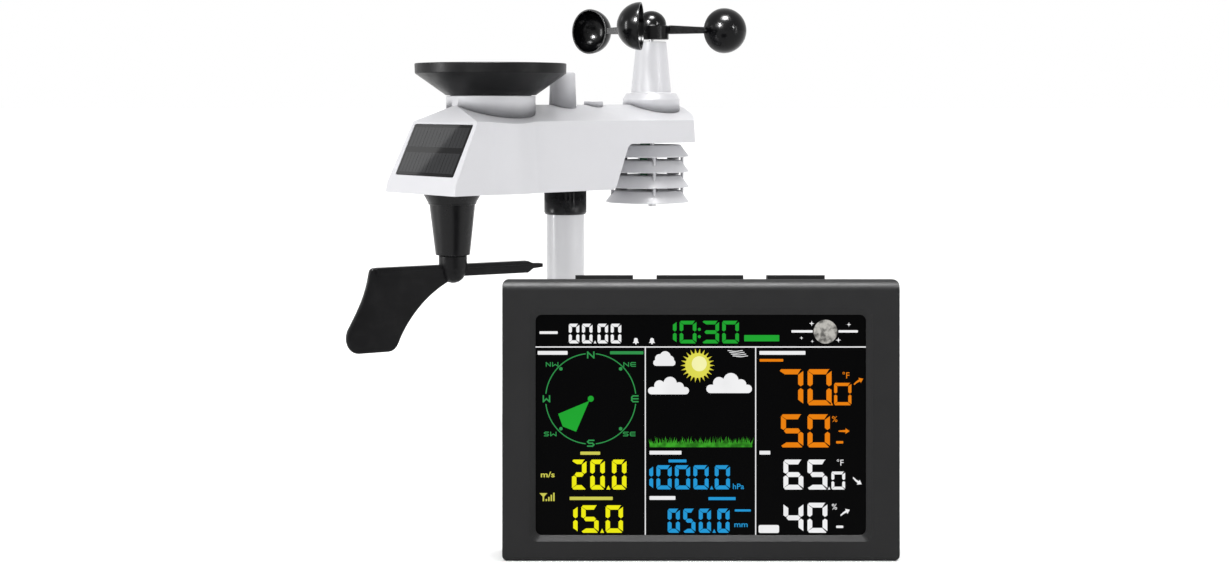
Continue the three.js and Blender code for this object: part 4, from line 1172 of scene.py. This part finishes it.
def forecast_column():
    cloud(-17.4, 80.6, 10.6, 7)
    cloud(-15.4, 67, 19.6, 8.4)
    cloud(13.6, 67.6, 21.8, 9.6)
    star("lit_rays", -1.5, 80.8, 8.2, 22, 0.62)
    disc("lit_sun", -1.5, 80.8, 5.9, 48, 1)
    disc("lit_glow", -0.7, 81.6, 3.6, 40, 2)
    for i in range(4):
        x, z = 12.9 + i * 0.8, 87.7 - i * 0.85
        for k in range(6):
            line("lit_white", x + k * 1.2, z + 0.22 * math.cos(k * 1.05), x + k * 1.2 + 1.22,
                 z + 0.22 * math.cos(k * 1.05 + 1.05), 0.34)
    draw = random.Random(7)
    shape("lit_grass", rectangle(-24.4, 41.8, 24.6, 43.6))
    for i in range(150):
        x = -24.2 + 48.6 * i / 149
        tall, lean = draw.uniform(1.2, 3.8), draw.uniform(-1.2, 1.2)
        shape("lit_grass", [(x - 0.25, 43.4), (x + 0.25, 43.4), (x + lean, 43.4 + tall)])
    caption("lit_white", -24.5, -9.2, 37.7, 40.7)
    caption("lit_blue", -15.4, -6.8, 34.1, 36.4)
    number("lit_blue", "1000.0", -24.6, 21.7, 38.6, 11.5, 1.85)
    label("lit_blue", "hPa", 18.1, 23.2, 2.6, 1.05, 0.008)
    caption("lit_white", -24.5, -12.1, 16.1, 19.1)
    caption("lit_blue", 3.7, 16.7, 16.1, 18.5)
    number("lit_blue", "050.0", -15.8, 1, 29.6, 11.5, 1.9)
    caption("lit_blue", 16.3, 24, 10.8, 12.5)
    label("lit_blue", "mm", 19.4, 4.9, 2.6, 1.2, 0.008)


def climate_column():
    caption("lit_white", 28.1, 50.1, 85.3, 88.3)
    caption("lit_orange", 28.2, 39.5, 82.2, 84.3)
    number("lit_orange", "70", 37.6, 61.8, 25, 17.2, 2.45)
    number("lit_orange", ".0", 62.7, 61.8, 9.4, 10.7, 1.5)
    label("lit_orange", "°F", 69.9, 76.6, 3.0, 1.0, 0.0)
    arrow("lit_orange", 75.4, 73.4, 25, 0.6)
    number("lit_orange", "50", 38.4, 41.7, 23.4, 15.8, 2.4)
    label("lit_orange", "%", 64.5, 55.6, 2.8, 1.0, 0.0)
    caption("lit_orange", 64.8, 68.2, 43.2, 45.1)
    arrow("lit_orange", 68.6, 49.5, 0)
    caption("lit_white", 28.1, 33.3, 37.7, 40.7)
    number("lit_white", "65", 39.6, 21.6, 21, 14.3, 2.3)
    number("lit_white", ".0", 61.5, 21.6, 7.6, 8.6, 1.4)
    label("lit_white", "°F", 67.1, 34.6, 2.9, 1.0, 0.0)
    arrow("lit_white", 74.8, 25.5, -32, -0.6)
    number("lit_white", "40", 39.6, 1, 21, 14.3, 2.3)
    label("lit_white", "%", 64.4, 13.4, 2.8, 1.0, 0.0)
    arrow("lit_white", 69.0, 10.9, 25, 0.6)
    caption("lit_white", 64.8, 68.2, 2.9, 4.8)
    shape("lit_white", rectangle(27.7, 0.9, 37.5, 4.7, 0.8))


def make_display():
    header()
    wind_column()
    forecast_column()
    climate_column()
    for colour, bm in layers.items():
        piece(colour.replace("lit", "display"), bm, CONSOLE, "console", colour, flat=True)


# ---- Carried-over CAD nodes --------------------------------------------------------------

def finish_cad_nodes():
    for name in ("lower_housing", "battery_door"):
        carried(name, "white", 0.25)
    for name in ("reset_button", "bucket_cradle", "lcd_panel"):
        carried(name, "shade", 0.2)
    for name in ("funnel_screen", "battery_box", "tipping_bucket", "dc_inlet"):
        carried(name, "black", 0.15)
    for name in ("antenna_rod", "rotor_bearing", "rotor_shaft", "rotor_magnet", "vane_bearing",
                 "vane_shaft", "vane_magnet", "socket_screw", "rain_reed_switch",
                 "shield_screw_1", "shield_screw_2", "bucket_axle", "bucket_magnet"):
        carried(name, "steel")
    for name in ("climate_sensor", "main_board", "console_board"):
        carried(name, "board", 0.15)
    for name in ("aa_battery_1", "aa_battery_2", "aaa_battery_1", "aaa_battery_2"):
        carried(name, "wrap")
    carried("console_battery_cover", "charcoal", 0.2)


# ---- Stage, lights and camera -----------------------------------------------------------------

def make_stage():
    material, tree, shader = node_tree("floor")
    at = add_node(tree, "ShaderNodeTexCoord").outputs["Object"]
    tree.links.new(ramp(tree, noise(tree, at, 3, 2), 0.3, 0.7, 0.86, 0.9), shader.inputs["Base Color"])
    shader.inputs["Roughness"].default_value = 0.9
    mesh = bpy.data.meshes.new("floor")
    reach = 60
    mesh.from_pydata(rectangle(-reach, -reach, reach, reach), [], [(0, 1, 2, 3)])
    mesh.materials.append(material)
    floor = bpy.data.objects.new("floor", mesh)
    bpy.context.scene.collection.objects.link(floor)


def make_light(name, spot, target, size, watts, height=None, spread=180):
    data = bpy.data.lights.new(name, "AREA")
    data.energy = watts
    data.size = size
    data.spread = math.radians(spread)
    if height:
        data.shape = "RECTANGLE"
        data.size_y = height
    lamp = bpy.data.objects.new(name, data)
    lamp.location = spot
    lamp.rotation_euler = (Vector(target) - Vector(spot)).to_track_quat("-Z", "Y").to_euler()
    bpy.context.scene.collection.objects.link(lamp)
    return lamp


def sheen(*arguments, **values):
    """A light seen only in reflections: it shapes the glossy blacks and leaves the whites even."""
    lamp = make_light(*arguments, **values)
    lamp.visible_diffuse = False
    return lamp


def make_lights():
    world = bpy.data.worlds.new("studio")
    world.use_nodes = True
    world.node_tree.nodes["Background"].inputs["Color"].default_value = (1, 1, 1, 1)
    world.node_tree.nodes["Background"].inputs["Strength"].default_value = 1.0
    bpy.context.scene.world = world
    middle = (0.03, -0.1, 0.18)
    for name, strength, heading in (("sun", 0.7, (0.47, 0.4, -0.8)), ("sky", 1.6, (-0.3, -0.2, -0.93))):
        far = bpy.data.lights.new(name, "SUN")
        far.energy = strength
        far.angle = math.radians(40)
        lamp = bpy.data.objects.new(name, far)
        lamp.rotation_euler = Vector(heading).to_track_quat("-Z", "Y").to_euler()
        lamp.visible_glossy = False
        bpy.context.scene.collection.objects.link(lamp)
    rotor = Vector(JOINTS["rotor_spin"]["pos_m"])
    crest = Vector((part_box("console_front")[0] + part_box("console_front")[1]) / 2)
    crest.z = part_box("console_front")[1].z
    make_light("key", (-0.9, -1.0, 0.95), middle, 0.4, 3)
    sheen("rotor_key", (-0.42, -0.95, 0.85), rotor, 0.16, 0.8, spread=14)
    sheen("rotor_top", (0.12, -0.35, 1.25), rotor, 1.0, 6, 0.34, spread=30)
    sheen("rotor_side", (1.0, -0.8, 0.6), rotor, 0.05, 0.12, 0.3, spread=20)
    sheen("left_strip", (-1.35, -0.35, 0.3), middle, 0.12, 15, 0.8)
    sheen("right_strip", (1.3, -0.55, 0.3), middle, 0.05, 3, 0.8)
    sheen("crest_strip", crest + Vector((0, -0.35, 1.05)), crest, 0.7, 6, 0.6, spread=40)
    gleam = sheen("panel_gleam", (-1.17, 0.587, 0.792), middle, 0.3, 0.6)
    edge = Vector((0.436, -0.096, 0.894)).normalized()
    facing = Vector((-0.818, 0.374, 0.437)).normalized()
    side = edge.cross(facing).normalized()
    gleam.rotation_euler = Matrix((side, edge, facing)).transposed().to_euler()


def make_camera():
    data = bpy.data.cameras.new("camera")
    data.lens = 50
    data.sensor_width = 36
    data.clip_start, data.clip_end = 0.05, 50
    camera = bpy.data.objects.new("camera", data)
    pitch = math.radians(6)
    camera.location = (0.0332, -1.152, 0.2195)
    camera.rotation_euler = (math.pi / 2 - pitch, 0, 0)
    bpy.context.scene.collection.objects.link(camera)
    bpy.context.scene.camera = camera
    bpy.context.scene.view_settings.view_transform = "Standard"


make_camera()
make_stage()
make_lights()
make_housing()
make_solar_panel()
make_rain_gauge()
make_roof_fittings()
make_tower()
make_rotor()
make_vane()
make_vane_cone()
make_shield()
make_mast()
make_console_front()
make_console_back()
make_window()
make_keys()
make_stand()
make_display()
finish_cad_nodes()
